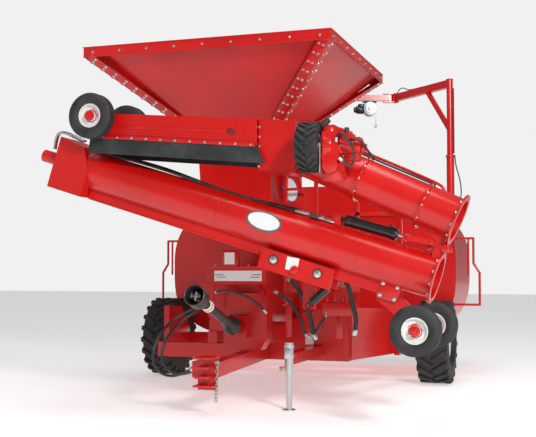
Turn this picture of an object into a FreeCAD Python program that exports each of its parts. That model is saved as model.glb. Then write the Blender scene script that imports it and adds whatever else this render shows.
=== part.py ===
import FreeCAD, Part
import math
import os

os.makedirs("parts", exist_ok=True)
V = FreeCAD.Vector

# Grain bagger, a towed machine that packs grain from a hopper into a long bag.
# Built about the middle of the axle on the ground: +X is the machine's side that
# faces right when it is seen from its drawbar, +Y is rearward, +Z is up.
# All sizes are in millimetres. The pieces are moved at the end so that the origin
# is the middle of the outline, on the ground.

# ---- running gear
track_half = 1644.0
main_tyre_d = 930.0
main_tyre_w = 350.0
main_bead_d = 445.0
spindle_r = 38.0
small_tyre_d = 392.0
small_tyre_w = 140.0
small_bead_d = 204.0
small_axle_r = 15.0
drive_tyre_d = 400.0
drive_tyre_w = 190.0
pin_gap = 0.3
free_gap = 6.0

# ---- chassis
beam_z0 = 365.0
beam_h = 150.0
beam_w = 150.0
front_beam_y = -1600.0
front_beam_half = 1030.0
axle_beam_half = 1400.0
rail_x = 420.0
rail_w = 100.0
rail_h = 120.0
side_plate_t = 60.0
gus_t = 12.0
side_plate_z1 = 900.0
tongue_x = 140.0
tongue_w = 120.0
tongue_h = 130.0
hitch_y = -3310.0
hitch_z = 385.0
hitch_pin_r = 17.0
jaw_gap = 60.0
jaw_t = 20.0
jack_x = 711.0
jack_y = -2634.0
jack_top_z = 610.0
jack_sleeve_r = 40.0
jack_leg_r = 27.0

# ---- hopper and bagging auger
hopper_top_z = 3380.0
hopper_half_w = 1210.0
hopper_y0 = -3007.0
hopper_y1 = -814.0
hopper_band_h = 100.0
hopper_sheet = 5.0
throat_z = 2600.0
throat_half_w = 400.0
throat_y0 = -2140.0
throat_y1 = -1500.0
housing_r = 300.0
housing_t = 8.0
housing_z = 960.0
housing_y0 = -2160.0
screw_r = housing_r - housing_t - 14.0
screw_shaft_r = 50.0
screw_pitch = 450.0
screw_flight_t = 10.0

# ---- tunnel that the bag slides off
tunnel_y0 = main_tyre_d / 2.0 + 35.0
tunnel_y1 = 1800.0
tunnel_half_w = 1800.0
tunnel_z0 = 400.0
tunnel_spring_z = 1350.0
tunnel_rise = 950.0
roof_power = 2.5
floor_power = 3.5
tunnel_t = 8.0

# ---- folding intake auger, carried across the front
auger_y = -3440.0
tube_r = 172.5
tube_t = 5.0
auger_slope = 17.3
fold_angle = 173.2
hinge_x = 2261.0
hinge_z = 1433.0
hinge_off = tube_r + 70.5
hinge_pin_r = 20.0
flange_r = tube_r + 39.5
flange_t = 16.0
discharge_len = 3480.0
intake_tube_len = 1430.0
rail_c_h = 70.0
rail_c_w = 100.0
tilt_s = -1110.0
tilt_n = -(hinge_off + tube_r + 104.5)
tilt_pin_r = 30.0

# ---- intake hopper, upside down while the auger is folded
box_half_depth = 240.0
box_sheet = 6.0
skirt_t = 8.0

# ---- crane that lifts a new bag on to the tunnel
post_x = 1735.0
post_y = 580.0
post_z0 = 1850.0
post_r = 45.0
collar_z = 2640.0
mast_r = 38.0
arm_z = 3500.0
arm_h = 90.0
arm_w = 70.0
elbow_dx = -810.0
elbow_dy = 780.0
outer_len = 900.0
outer_angle = 198.0

shapes = {}
cord_names = []


def box(x0, x1, y0, y1, z0, z1):
    return Part.makeBox(x1 - x0, y1 - y0, z1 - z0, V(x0, y0, z0))


def bar(p, q, w, h, up=V(0, 0, 1)):
    d = q - p
    n = d.Length
    d.normalize()
    side = up.cross(d)
    side.normalize()
    top = d.cross(side)
    m = FreeCAD.Matrix(d.x, side.x, top.x, p.x, d.y, side.y, top.y, p.y,
                       d.z, side.z, top.z, p.z, 0, 0, 0, 1)
    b = Part.makeBox(n, w, h, V(0, -w / 2.0, -h / 2.0))
    return placed(b, m)


def placed(s, m):
    s.Placement = FreeCAD.Placement(m)
    return s


def rod(p, q, r):
    d = q - p
    return Part.makeCylinder(r, d.Length, p, d)


def pipe(p, q, ro, ri):
    d = q - p
    e = V(d.x, d.y, d.z)
    e.normalize()
    return rod(p, q, ro).cut(rod(p - e, q + e, ri))


def prism_y(pts, y0, y1):
    w = Part.makePolygon([V(x, y0, z) for x, z in pts] + [V(pts[0][0], y0, pts[0][1])])
    return Part.Face(w).extrude(V(0, y1 - y0, 0))


def prism_x(pts, x0, x1):
    w = Part.makePolygon([V(x0, y, z) for y, z in pts] + [V(x0, pts[0][0], pts[0][1])])
    return Part.Face(w).extrude(V(x1 - x0, 0, 0))


def rect_wire(x0, x1, y0, y1, z):
    pts = [V(x0, y0, z), V(x1, y0, z), V(x1, y1, z), V(x0, y1, z), V(x0, y0, z)]
    return Part.makePolygon(pts)


def ring_solid(c, axis, profile):
    """Turn a closed (radius, offset along the axis) outline about the axis at c."""
    a = V(axis.x, axis.y, axis.z)
    a.normalize()
    ref = V(0, 0, 1)
    pts = [c + ref * r + a * t for r, t in profile]
    w = Part.makePolygon(pts + [pts[0]])
    return Part.Face(w).revolve(c, a, 360)


def tyre(c, axis, d, w, bead):
    r = d / 2.0
    b = bead / 2.0
    h = w / 2.0
    sh = (r - b) * 0.28
    prof = [(b, -h * 0.72), (b + sh * 0.6, -h * 0.95), (b + (r - b) * 0.5, -h),
            (r - sh, -h), (r - sh * 0.25, -h * 0.86), (r, -h * 0.62), (r, h * 0.62),
            (r - sh * 0.25, h * 0.86), (r - sh, h), (b + (r - b) * 0.5, h),
            (b + sh * 0.6, h * 0.95), (b, h * 0.72)]
    return ring_solid(c, axis, prof)


def rim(c, axis, w, bead, bore, hub_r, dish, t=6.0):
    """A pressed wheel: barrel, dished disc and hub with a bore through it."""
    b = bead / 2.0
    h = w * 0.5 * 0.72
    ri = b - t * 2.0
    prof = [(bore, dish - 45.0), (hub_r, dish - 45.0), (hub_r, dish - t), (ri, dish - t), (ri, -h), (b, -h),
            (b, h), (ri, h), (ri, dish + t), (hub_r, dish + t), (hub_r, dish + 45.0), (bore, dish + 45.0)]
    return ring_solid(c, axis, prof)


# ---------------------------------------------------------------- chassis
beam_z1 = beam_z0 + beam_h
front_beam_y0 = front_beam_y - beam_w / 2.0
front_beam_y1 = front_beam_y + beam_w / 2.0
shapes["front_beam"] = box(-front_beam_half, front_beam_half, front_beam_y0, front_beam_y1, beam_z0,
                           beam_z1)
wheel_z = main_tyre_d / 2.0
X = V(1, 0, 0)
Y = V(0, 1, 0)
Z = V(0, 0, 1)
axle = box(-axle_beam_half, axle_beam_half, -beam_w / 2.0, beam_w / 2.0, beam_z0, beam_z1)
hub_half = 45.0
hub_in = track_half - hub_half
for s in (-1, 1):
    flange_end = V(s * (hub_in - free_gap), 0, wheel_z)
    axle = axle.fuse(rod(V(s * (axle_beam_half - 1), 0, wheel_z), flange_end, spindle_r * 1.4))
    axle = axle.fuse(rod(V(s * (hub_in - free_gap - 1), 0, wheel_z),
                         V(s * (track_half + hub_half + 20), 0, wheel_z), spindle_r))
shapes["axle_beam"] = axle
rail_z1 = beam_z1 + rail_h
rails = [box(s * rail_x - rail_w / 2.0, s * rail_x + rail_w / 2.0, front_beam_y0 + gus_t, tunnel_y0,
             beam_z1, rail_z1) for s in (-1, 1)]

side_frames = []
for s in (-1, 1):
    # a deep plate beam from the end of the front beam out to the end of the axle beam
    a = V(s * (front_beam_half - side_plate_t), front_beam_y1, beam_z0)
    b = V(s * (axle_beam_half - side_plate_t), -beam_w / 2.0, beam_z0)
    t = V(s * side_plate_t, 0, 0)
    base = Part.makePolygon([a, a + t, b + t, b, a])
    plate = Part.Face(base).extrude(V(0, 0, side_plate_z1 - beam_z0))
    cut_pts = [(front_beam_y1 - 10, side_plate_z1 + 20), (front_beam_y1 - 10, side_plate_z1 - 10),
               (-beam_w / 2.0 - 650, side_plate_z1 - 40), (-beam_w / 2.0 + 10, beam_z1 + 60),
               (-beam_w / 2.0 + 10, side_plate_z1 + 20)]
    plate = plate.cut(prism_x(cut_pts, s * 1030 - 700, s * 1030 + 700))
    side_frames.append(plate)
shapes["side_frames"] = Part.makeCompound(side_frames)

# gusset plate on top of the front beam's right half, rising to its outer end
gusset_pts = [(250.0, beam_z1), (front_beam_half, beam_z1), (front_beam_half, side_plate_z1 + 60),
              (front_beam_half - 80, side_plate_z1 + 60), (250.0, 700.0)]
shapes["front_gusset"] = prism_y(gusset_pts, front_beam_y0, front_beam_y0 + gus_t)

tongue_y1 = front_beam_y0
clevis_back_y = hitch_y + 130.0
tongue_pts = [(tongue_y1, beam_z0 + beam_h / 2.0 + tongue_h / 2.0),
              (tongue_y1, beam_z0 + beam_h / 2.0 - tongue_h / 2.0),
              (clevis_back_y, hitch_z - tongue_h / 2.0), (clevis_back_y, hitch_z + tongue_h / 2.0)]
shapes["drawbar"] = prism_x(tongue_pts, tongue_x - tongue_w / 2.0, tongue_x + tongue_w / 2.0)

clevis = box(tongue_x - 90, tongue_x + 90, clevis_back_y - 20, clevis_back_y, hitch_z - 160, hitch_z + 160)
for s in (-1, 1):
    z0 = hitch_z + s * (jaw_gap / 2.0 + jaw_t / 2.0) - jaw_t / 2.0
    jaw = box(tongue_x - 60, tongue_x + 60, hitch_y - 50, clevis_back_y - 20, z0, z0 + jaw_t)
    clevis = clevis.fuse(jaw)
for s in (-1, 1):
    zc = hitch_z + s * 120.0
    ear = box(tongue_x - 90, tongue_x + 90, hitch_y - 10, clevis_back_y - 20, zc - 8, zc + 8)
    clevis = clevis.fuse(ear)
clevis = clevis.cut(rod(V(tongue_x, hitch_y, hitch_z - 200), V(tongue_x, hitch_y, hitch_z + 200),
                        hitch_pin_r))
shapes["hitch_clevis"] = clevis.removeSplitter()

# ---------------------------------------------------------------- jack
jack_arm_z = 465.0
shapes["jack_arm"] = box(jack_x - 50, jack_x + 50, jack_y + jack_sleeve_r, front_beam_y0, jack_arm_z - 50,
                         jack_arm_z + 50)
sleeve_z0 = 330.0
sleeve = pipe(V(jack_x, jack_y, sleeve_z0), V(jack_x, jack_y, jack_top_z), jack_sleeve_r,
              jack_leg_r + free_gap)
sleeve = sleeve.fuse(rod(V(jack_x, jack_y, jack_top_z - 12), V(jack_x, jack_y, jack_top_z), jack_sleeve_r))
shapes["jack_sleeve"] = sleeve.removeSplitter()
leg = rod(V(jack_x, jack_y, 10), V(jack_x, jack_y, sleeve_z0 + 120), jack_leg_r)
leg = leg.fuse(rod(V(jack_x, jack_y, 0), V(jack_x, jack_y, 10), 60.0))
shapes["jack_leg"] = leg.removeSplitter()
jack_stroke = 130.0

# ---------------------------------------------------------------- main wheels
for name, s in (("left", -1), ("right", 1)):
    c = V(s * track_half, 0, wheel_z)
    shapes["main_tyre_" + name] = tyre(c, X, main_tyre_d, main_tyre_w, main_bead_d)
    shapes["main_wheel_" + name] = rim(c, X, main_tyre_w, main_bead_d, spindle_r + pin_gap, 75.0, s * 20.0)

# ---------------------------------------------------------------- hopper
hz0 = hopper_top_z - hopper_band_h
t = hopper_sheet
band = box(-hopper_half_w, hopper_half_w, hopper_y0, hopper_y1, hz0, hopper_top_z)
band = band.cut(box(-hopper_half_w + t, hopper_half_w - t, hopper_y0 + t, hopper_y1 - t, hz0 - 1,
                    hopper_top_z + 1))
outer = Part.makeLoft([rect_wire(-hopper_half_w + t, hopper_half_w - t, hopper_y0 + t, hopper_y1 - t,
                                 hopper_top_z),
                       rect_wire(-throat_half_w, throat_half_w, throat_y0, throat_y1,
                                 throat_z)], True, True)
g = t * 1.45
inner = Part.makeLoft([rect_wire(-hopper_half_w + t + g, hopper_half_w - t - g, hopper_y0 + t + g,
                                 hopper_y1 - t - g, hopper_top_z),
                       rect_wire(-throat_half_w + g, throat_half_w - g, throat_y0 + g, throat_y1 - g,
                                 throat_z)], True, True)
lip = box(-hopper_half_w, hopper_half_w, hopper_y0, hopper_y1, hopper_top_z - t, hopper_top_z)
lip_in = t + g
lip = lip.cut(box(-hopper_half_w + lip_in, hopper_half_w - lip_in, hopper_y0 + lip_in, hopper_y1 - lip_in,
                  hopper_top_z - t - 1, hopper_top_z + 1))
shapes["main_hopper"] = band.fuse(outer.cut(inner)).fuse(lip).removeSplitter()

chute_half = 300.0
chute_y0 = -2090.0
chute_y1 = -1520.0
co = Part.makeLoft([rect_wire(-throat_half_w, throat_half_w, throat_y0, throat_y1, throat_z),
                    rect_wire(-chute_half, chute_half, chute_y0, chute_y1, housing_z)], True, True)
ci = Part.makeLoft([rect_wire(-throat_half_w + g, throat_half_w - g, throat_y0 + g, throat_y1 - g,
                              throat_z),
                    rect_wire(-chute_half + g, chute_half - g, chute_y0 + g, chute_y1 - g,
                              housing_z)], True, True)
chute = co.cut(ci)
chute = chute.cut(rod(V(0, housing_y0 - 50, housing_z), V(0, tunnel_y0 + 50, housing_z), housing_r))
shapes["hopper_chute"] = max(chute.Solids, key=lambda s: s.Volume)

housing = pipe(V(0, housing_y0, housing_z), V(0, tunnel_y0, housing_z), housing_r, housing_r - housing_t)
mouth = box(-housing_r + 60, housing_r - 60, chute_y0 + 30, chute_y1 - 30, housing_z + 50,
            housing_z + housing_r + 50)
housing = housing.cut(mouth)
cover = rod(V(0, housing_y0 - 12, housing_z), V(0, housing_y0, housing_z), housing_r)
cover = cover.cut(rod(V(0, housing_y0 - 20, housing_z), V(0, housing_y0 + 20, housing_z),
                      screw_shaft_r + pin_gap))
shapes["auger_housing"] = housing.fuse(cover).removeSplitter()

screw = rod(V(0, housing_y0 - 12 - 60, housing_z), V(0, tunnel_y0 + 120, housing_z), screw_shaft_r)
flight_y0 = housing_y0 + 30.0
flight_len = tunnel_y0 + 60.0 - flight_y0
helix = Part.makeHelix(screw_pitch, flight_len, screw_shaft_r)
prof = Part.makePolygon([V(screw_shaft_r - 6, 0, 0), V(screw_r, 0, 0), V(screw_r, 0, screw_flight_t),
                         V(screw_shaft_r - 6, 0, screw_flight_t), V(screw_shaft_r - 6, 0, 0)])
flight = Part.Wire(helix).makePipeShell([prof], True, True)
flight.rotate(V(0, 0, 0), V(1, 0, 0), -90)
flight.translate(V(0, flight_y0, housing_z))
shapes["bagging_screw"] = screw.fuse(flight)

# saddles that carry the housing on the rails
saddles = []
for yy in (front_beam_y, -700.0, 300.0):
    p = box(-rail_x - rail_w / 2.0, rail_x + rail_w / 2.0, yy - 30, yy + 30, rail_z1, rail_z1 + 110)
    saddles.append(p.cut(rod(V(0, yy - 40, housing_z), V(0, yy + 40, housing_z), housing_r)))
ladder_frame = rails[0].fuse(rails[1:] + saddles)
shapes["frame_rails"] = ladder_frame.removeSplitter()

# hopper legs from the rails up to the hopper's walls
legs = []
leg_z1 = 2700.0
leg_y = -1400.0
for sx in (-1, 1):
    legs.append(box(sx * rail_x - 40, sx * rail_x + 40, leg_y - 40, leg_y + 40, rail_z1, leg_z1))
legs_c = Part.makeCompound(legs)
cut_pyr = Part.makeLoft([rect_wire(-hopper_half_w + t, hopper_half_w - t, hopper_y0 + t, hopper_y1 - t,
                                   hopper_top_z),
                         rect_wire(-throat_half_w, throat_half_w, throat_y0, throat_y1,
                                   throat_z)], True, True)
legs2 = [max(s.cut(cut_pyr).Solids, key=lambda q: q.Volume) for s in legs]
shapes["hopper_legs"] = Part.makeCompound(legs2)

# ---------------------------------------------------------------- PTO gearbox and shaft
gear_x0 = -10.0
gear_x1 = 420.0
gear_y0 = -2500.0
gear_y1 = housing_y0 - 12 - 70
pto_x = 146.0
pto_z = 735.0
shapes["gearbox_shield"] = prism_y([(gear_x0, 515.0), (gear_x1 - 60, 515.0), (gear_x1, 620.0),
                                    (gear_x1, 940.0), (gear_x1 - 90, 1050.0), (gear_x0 + 60, 1050.0),
                                    (gear_x0, 980.0)],
                                   gear_y0 + 90, gear_y1)
shapes["pto_gearbox"] = box(pto_x - 100, pto_x + 100, gear_y0, gear_y0 + 90, pto_z - 100, pto_z + 100)

# the shielded telescoping shaft, parked nose up in front of the gearbox
pto_dir = V(-14.0, -920.0, 318.0)
pto_dir.normalize()
pto_joint = V(pto_x, gear_y0 - 60.0, pto_z)
pto_tube_r = 42.0
pto_len = 990.0


def taper(p, d, a, b, ra, rb):
    """A cone frustum along d, from a to b past p."""
    return Part.makeCone(ra, rb, b - a, p + d * a, d)


shaft = rod(pto_joint + pto_dir * 30, pto_joint + pto_dir * 620, pto_tube_r)
shaft = shaft.fuse(rod(pto_joint, pto_joint + pto_dir * 40, 22.0))
shaft = shaft.fuse(rod(pto_joint - X * 38, pto_joint + X * 38, 12.0))
shaft = shaft.fuse(taper(pto_joint, pto_dir, 30.0, 180.0, 88.0, pto_tube_r - 2.0))
shaft = shaft.fuse(rod(pto_joint + pto_dir * 600, pto_joint + pto_dir * (pto_len - 20), pto_tube_r - 8))
shaft = shaft.fuse(taper(pto_joint, pto_dir, 770.0, 860.0, pto_tube_r - 10.0, 95.0))
shaft = shaft.fuse(rod(pto_joint + pto_dir * 860, pto_joint + pto_dir * pto_len, 95.0))
shapes["pto_shaft"] = shaft.removeSplitter()
yoke = rod(V(pto_x, gear_y0, pto_z), V(pto_x, gear_y0 - 34, pto_z), 45.0)
shapes["pto_gearbox"] = shapes["pto_gearbox"].fuse(yoke).removeSplitter()

# sign panel: a box beam across the front of the housing, on two posts
sign_y = -2500.0
sign_pts = [(-60.0, 1135.0), (470.0, 1135.0), (470.0, 1290.0), (-60.0, 1290.0)]
shapes["sign_panel"] = prism_y(sign_pts, sign_y - 80, sign_y)
sign_arm = box(100, 260, sign_y - 1, throat_y1, housing_z + housing_r + 2,
               housing_z + housing_r + 30).cut(co)
sign_arm = max(sign_arm.Solids, key=lambda q: -q.BoundBox.YMin)
shapes["sign_panel"] = shapes["sign_panel"].fuse(sign_arm).removeSplitter()

# ---------------------------------------------------------------- tractor hoses
hose_r = 13.0
coupler_r = 17.0
coupler_len = 85.0
port_len = 60.0


def hose(name, pts):
    """A hanging hose: straight runs joined by tangent arcs, through the route's points."""
    runs = [(b - a).Length for a, b in zip(pts[:-1], pts[1:])]
    dirs = [(b - a).normalize() for a, b in zip(pts[:-1], pts[1:])]
    edges = []
    last = pts[0]
    for i in range(1, len(pts) - 1):
        turn = math.acos(max(-1.0, min(1.0, dirs[i - 1].dot(dirs[i]))))
        cut_back = 0.45 * min(runs[i - 1], runs[i])
        radius = cut_back / math.tan(turn / 2.0)
        print("HOSE", name, i, "run", round(runs[i - 1], 1), "turn", round(math.degrees(turn), 1),
              "radius", round(radius, 1))
        p = pts[i] - dirs[i - 1] * cut_back
        q = pts[i] + dirs[i] * cut_back
        mid_dir = (dirs[i] - dirs[i - 1]).normalize()
        centre = pts[i] + mid_dir * (radius / math.cos(turn / 2.0))
        m = centre - mid_dir * radius
        edges.append(Part.LineSegment(last, p).toShape())
        edges.append(Part.Arc(p, m, q).toShape())
        last = q
    edges.append(Part.LineSegment(last, pts[-1]).toShape())
    path = Part.Wire(edges)
    ring = Part.Wire([Part.makeCircle(hose_r, pts[0], dirs[0])])
    tube = path.makePipeShell([ring], True, False)
    want = math.pi * hose_r ** 2 * path.Length
    print("HOSE", name, "length", round(path.Length, 1), "volume ratio", round(tube.Volume / want, 4))
    return tube, dirs[0], dirs[-1]


route_outer = [V(-170, -2600, 930), V(-260, -2740, 880), V(-360, -2880, 790), V(-430, -2990, 660),
               V(-455, -3060, 510),
               V(-400, -3110, 385), V(-280, -3140, 325), V(-150, -3150, 335), V(-40, -3152, 390)]
route_inner = [V(-105, -2600, 930), V(-185, -2730, 875), V(-275, -2860, 785), V(-345, -2965, 665),
               V(-375, -3030, 530),
               V(-345, -3065, 420), V(-255, -3075, 345), V(-140, -3080, 335), V(-35, -3082, 375)]
ports = box(-215, -50, -2560, -2548, 905, 1145)
holder = box(-4, 4, -3192, -3040, 330, 470).fuse(box(-4, 50, -3200, -3190, 330, 470))
couplers = []
for name, route in (("hose_outer", route_outer), ("hose_inner", route_inner)):
    tube, d_start, d_end = hose(name, route)
    shapes[name] = tube
    cord_names.append(name)
    ports = ports.fuse(rod(route[0], route[0] - d_start * port_len, hose_r + 4))
    end = route[-1]
    plug = rod(end, end + d_end * coupler_len, coupler_r)
    plug = plug.fuse(rod(end, end + d_end * 26.0, coupler_r + 4))
    couplers.append(plug.removeSplitter())
    holder = holder.cut(rod(end - d_end * 20, end + d_end * 200, coupler_r + pin_gap))
shapes["hose_couplers"] = Part.makeCompound(couplers)
cord_names.append("hose_couplers")
shapes["sign_panel"] = shapes["sign_panel"].fuse(ports).removeSplitter()
shapes["hitch_clevis"] = shapes["hitch_clevis"].fuse(holder).removeSplitter()

# ---------------------------------------------------------------- tunnel


def arch(half, z0, spring, rise, y):
    """The outline of the tunnel across the machine: round roof, sides drawn in to a flat floor."""
    n = 36
    roof = []
    floor = []
    for i in range(n + 1):
        w = math.pi * i / n
        c = math.cos(w)
        side = math.copysign(abs(c) ** (2.0 / roof_power), c) * half
        roof.append(V(side, y, spring + rise * abs(math.sin(w)) ** (2.0 / roof_power)))
        side = math.copysign(abs(c) ** (2.0 / floor_power), c) * half
        floor.append(V(side, y, spring - (spring - z0) * abs(math.sin(w)) ** (2.0 / floor_power)))
    for pts in (roof, floor):
        pts[0] = V(half, y, spring)
        pts[-1] = V(-half, y, spring)
    top = Part.BSplineCurve()
    top.interpolate(roof)
    low = Part.BSplineCurve()
    low.interpolate(floor[::-1])
    return Part.Wire([top.toShape(), low.toShape()])


wall_t = 10.0
outer_face = Part.Face(arch(tunnel_half_w, tunnel_z0, tunnel_spring_z, tunnel_rise, tunnel_y0))
wall = outer_face.extrude(V(0, wall_t, 0))
shapes["tunnel_front_wall"] = wall.cut(rod(V(0, tunnel_y0 - 20, housing_z),
                                           V(0, tunnel_y0 + 40, housing_z), housing_r - housing_t))
skin_o = Part.Face(arch(tunnel_half_w, tunnel_z0, tunnel_spring_z, tunnel_rise,
                        tunnel_y0 + wall_t)).extrude(V(0, tunnel_y1 - tunnel_y0 - wall_t, 0))
skin_i = Part.Face(arch(tunnel_half_w - tunnel_t, tunnel_z0 + tunnel_t, tunnel_spring_z,
                        tunnel_rise - tunnel_t,
                        tunnel_y0 - 50)).extrude(V(0, tunnel_y1 - tunnel_y0 + 150, 0))
shapes["tunnel_skin"] = skin_o.cut(skin_i)
pan_z = 250.0
pan = box(-1500, 1500, 900, 1980, pan_z,
          pan_z + 90).cut(box(-1500 + 8, 1500 - 8, 908, 1972, pan_z + 8, pan_z + 120))
pan_arms = ([box(sx * 1100 - 30, sx * 1100 + 30, tunnel_y0 - 60, 900, pan_z + 10, pan_z + 70).fuse(
    box(sx * 1100 - 30, sx * 1100 + 30, tunnel_y0 - 60, tunnel_y0, pan_z + 10,
        tunnel_z0 + 200)).removeSplitter() for sx in (-1, 1)])
shapes["bag_pan"] = pan.fuse(pan_arms[0]).fuse(pan_arms[1]).removeSplitter()

# ---------------------------------------------------------------- folding auger
sl = math.radians(auger_slope)
t1 = V(math.cos(sl), 0, -math.sin(sl))
n1 = V(math.sin(sl), 0, math.cos(sl))
H = V(hinge_x, auger_y, hinge_z)


def turned(v, deg):
    """A vector turned about +Y by deg, right-hand rule."""
    w = math.radians(deg)
    return V(v.x * math.cos(w) + v.z * math.sin(w), v.y, -v.x * math.sin(w) + v.z * math.cos(w))


t2 = turned(t1, -fold_angle)
n2 = turned(n1, -fold_angle) * -1.0


def L1(s, n, y=0.0):
    return H + t1 * s + n1 * n + V(0, y, 0)


def L2(u, w, y=0.0):
    return H + t2 * u + n2 * w + V(0, y, 0)


def plate1(pts, y0, y1):
    """A plate in the discharge section's own plane, from (s, n) points."""
    q = [L1(s, n) for s, n in pts]
    return prism_y([(p.x, p.z) for p in q], auger_y + y0, auger_y + y1)


def plate2(pts, y0, y1):
    q = [L2(s, n) for s, n in pts]
    return prism_y([(p.x, p.z) for p in q], auger_y + y0, auger_y + y1)


face_gap = 3.0
tube1 = pipe(L1(-discharge_len, -hinge_off), L1(-face_gap - flange_t, -hinge_off), tube_r, tube_r - tube_t)
spout_len = 330.0
spout_drop = 70.0
sp_half = tube_r + 14.0
spout_s0 = -discharge_len
spout_n0 = -hinge_off - tube_r - spout_drop
hole = plate1([(spout_s0 + 30, -hinge_off), (spout_s0 + spout_len - 30, -hinge_off),
               (spout_s0 + spout_len - 30, spout_n0 - 20), (spout_s0 + 30, spout_n0 - 20)], -120, 120)
shapes["discharge_auger_tube"] = tube1.cut(hole)
sp_o = plate1([(spout_s0 - 12, -hinge_off + tube_r + 40),
               (spout_s0 + spout_len - 90, -hinge_off + tube_r + 10), (spout_s0 + spout_len, -hinge_off),
               (spout_s0 + spout_len, spout_n0), (spout_s0 - 12, spout_n0)], -sp_half, sp_half)
sp_i = plate1([(spout_s0 - 6, -hinge_off + tube_r + 32),
               (spout_s0 + spout_len - 92, -hinge_off + tube_r + 4),
               (spout_s0 + spout_len - 6, -hinge_off - 2), (spout_s0 + spout_len - 6, spout_n0 - 10),
               (spout_s0 - 6, spout_n0 - 10)], -sp_half + 6, sp_half - 6)
spout = sp_o.cut(sp_i).cut(rod(L1(spout_s0, -hinge_off), L1(spout_s0 + spout_len + 20, -hinge_off), tube_r))
shapes["discharge_spout"] = max(spout.Solids, key=lambda q: q.Volume)
motor = rod(L1(spout_s0 - 12, -hinge_off), L1(spout_s0 - 60, -hinge_off), 75.0)
motor = motor.fuse(rod(L1(spout_s0 - 60, -hinge_off), L1(spout_s0 - 230, -hinge_off), 55.0))
shapes["discharge_spout"] = shapes["discharge_spout"].fuse(motor).removeSplitter()

# end flange of the discharge section, with the two hinge ears above it
ear_y0 = 62.0
ear_y1 = 82.0
ear_r = 34.0
ear2_r = 29.0
s0 = -face_gap - flange_t
s1 = -face_gap
ring1 = pipe(L1(s0, -hinge_off), L1(s1, -hinge_off), flange_r, tube_r - tube_t)
back = 70.0
ear_pts = [(s0 - back, -hinge_off + tube_r - 30), (s0, -hinge_off + tube_r - 30), (s0, -ear_r - 30),
           (-face_gap - 8, -ear_r - 12), (ear_r * 0.7, -ear_r * 0.7), (ear_r, 0),
           (ear_r * 0.7, ear_r * 0.7), (0, ear_r), (-ear_r * 0.7, ear_r * 0.7), (s0 - back, -ear_r)]
for sy in (-1, 1):
    y0, y1 = (ear_y0, ear_y1) if sy > 0 else (-ear_y1, -ear_y0)
    ring1 = ring1.fuse(plate1(ear_pts, y0, y1))
sleeve1 = rod(L1(-500, -hinge_off), L1(50, -hinge_off), tube_r)
ring1 = ring1.cut(sleeve1.cut(rod(L1(s0, -hinge_off), L1(s1, -hinge_off), tube_r)))
ring1 = ring1.cut(rod(L1(-500, -hinge_off), L1(50, -hinge_off), tube_r - tube_t))
ring1 = ring1.cut(rod(L1(0, 0, -120), L1(0, 0, 120), hinge_pin_r + pin_gap))
shapes["discharge_flange"] = max(ring1.Solids, key=lambda q: q.Volume)

u0 = face_gap
u1 = face_gap + flange_t
ring2 = pipe(L2(u0, hinge_off), L2(u1, hinge_off), flange_r, tube_r - tube_t)
for sy in (-1, 1):
    y0, y1 = (30.0, 54.0) if sy > 0 else (-54.0, -30.0)
    ear = plate2([(u1 + 130, hinge_off - tube_r + 30), (u1, hinge_off - tube_r + 30), (u1, ear2_r + 30),
                  (face_gap + 8, ear2_r + 12), (-ear2_r * 0.7, ear2_r * 0.7), (-ear2_r, 0),
                  (-ear2_r * 0.7, -ear2_r * 0.7), (0, -ear2_r), (ear2_r * 0.7, -ear2_r * 0.7),
                  (u1 + 60, -20), (u1 + 130, -20)], y0, y1)
    ring2 = ring2.fuse(ear)
ring2 = ring2.cut(rod(L2(500, hinge_off), L2(-50, hinge_off),
                      tube_r).cut(rod(L2(u0, hinge_off), L2(u1, hinge_off), tube_r)))
ring2 = ring2.cut(rod(L2(500, hinge_off), L2(-50, hinge_off), tube_r - tube_t))
ring2 = ring2.cut(rod(L2(0, 0, -60), L2(0, 0, 60), hinge_pin_r))
shapes["intake_flange"] = max(ring2.Solids, key=lambda q: q.Volume)
shapes["intake_flange"] = shapes["intake_flange"].fuse(rod(L1(0, 0, -96), L1(0, 0, 96),
                                                           hinge_pin_r)).removeSplitter()

# channel along the underside of the discharge section
rail_n1 = -hinge_off - tube_r + 6.0
rail_n0 = rail_n1 - rail_c_h - 6.0
rail_s0 = -3140.0
rail_s1 = -270.0
rail = plate1([(rail_s0, rail_n0), (rail_s1, rail_n0), (rail_s1, rail_n1), (rail_s0, rail_n1)],
              -rail_c_w / 2.0, rail_c_w / 2.0)
rail = rail.cut(rod(L1(-discharge_len, -hinge_off), L1(0, -hinge_off), tube_r))
shapes["auger_rail"] = max(rail.Solids, key=lambda q: q.Volume)

# tilt bracket: two cheek plates on the channel, hung on the tilt pin
cheek_y = 108.0
cheek_t = 12.0
cheek_s0 = -1430.0
cheek_s1 = -790.0
cheek_n0 = tilt_n - 70.0
cheek_pts = [(cheek_s0, cheek_n0), (cheek_s1, cheek_n0), (cheek_s1, rail_n1 - 10), (cheek_s0, rail_n1 - 10)]
web_pts = [(cheek_s0, rail_n0 + 4), (cheek_s1, rail_n0 + 4), (cheek_s1, rail_n0 + 16),
           (cheek_s0, rail_n0 + 16)]
tilt_bore = rod(L1(tilt_s, tilt_n, -300), L1(tilt_s, tilt_n, 300), tilt_pin_r + pin_gap)
cheeks = []
for y0, y1, y2, y3 in ((-cheek_y - cheek_t, -cheek_y, -cheek_y, -rail_c_w / 2.0),
                       (cheek_y, cheek_y + cheek_t, rail_c_w / 2.0, cheek_y)):
    one = plate1(cheek_pts, y0, y1).fuse(plate1(web_pts, y2, y3)).cut(tilt_bore)
    cheeks.append(max(one.Solids, key=lambda q: q.Volume))
shapes["tilt_bracket"] = Part.makeCompound(cheeks)

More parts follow.
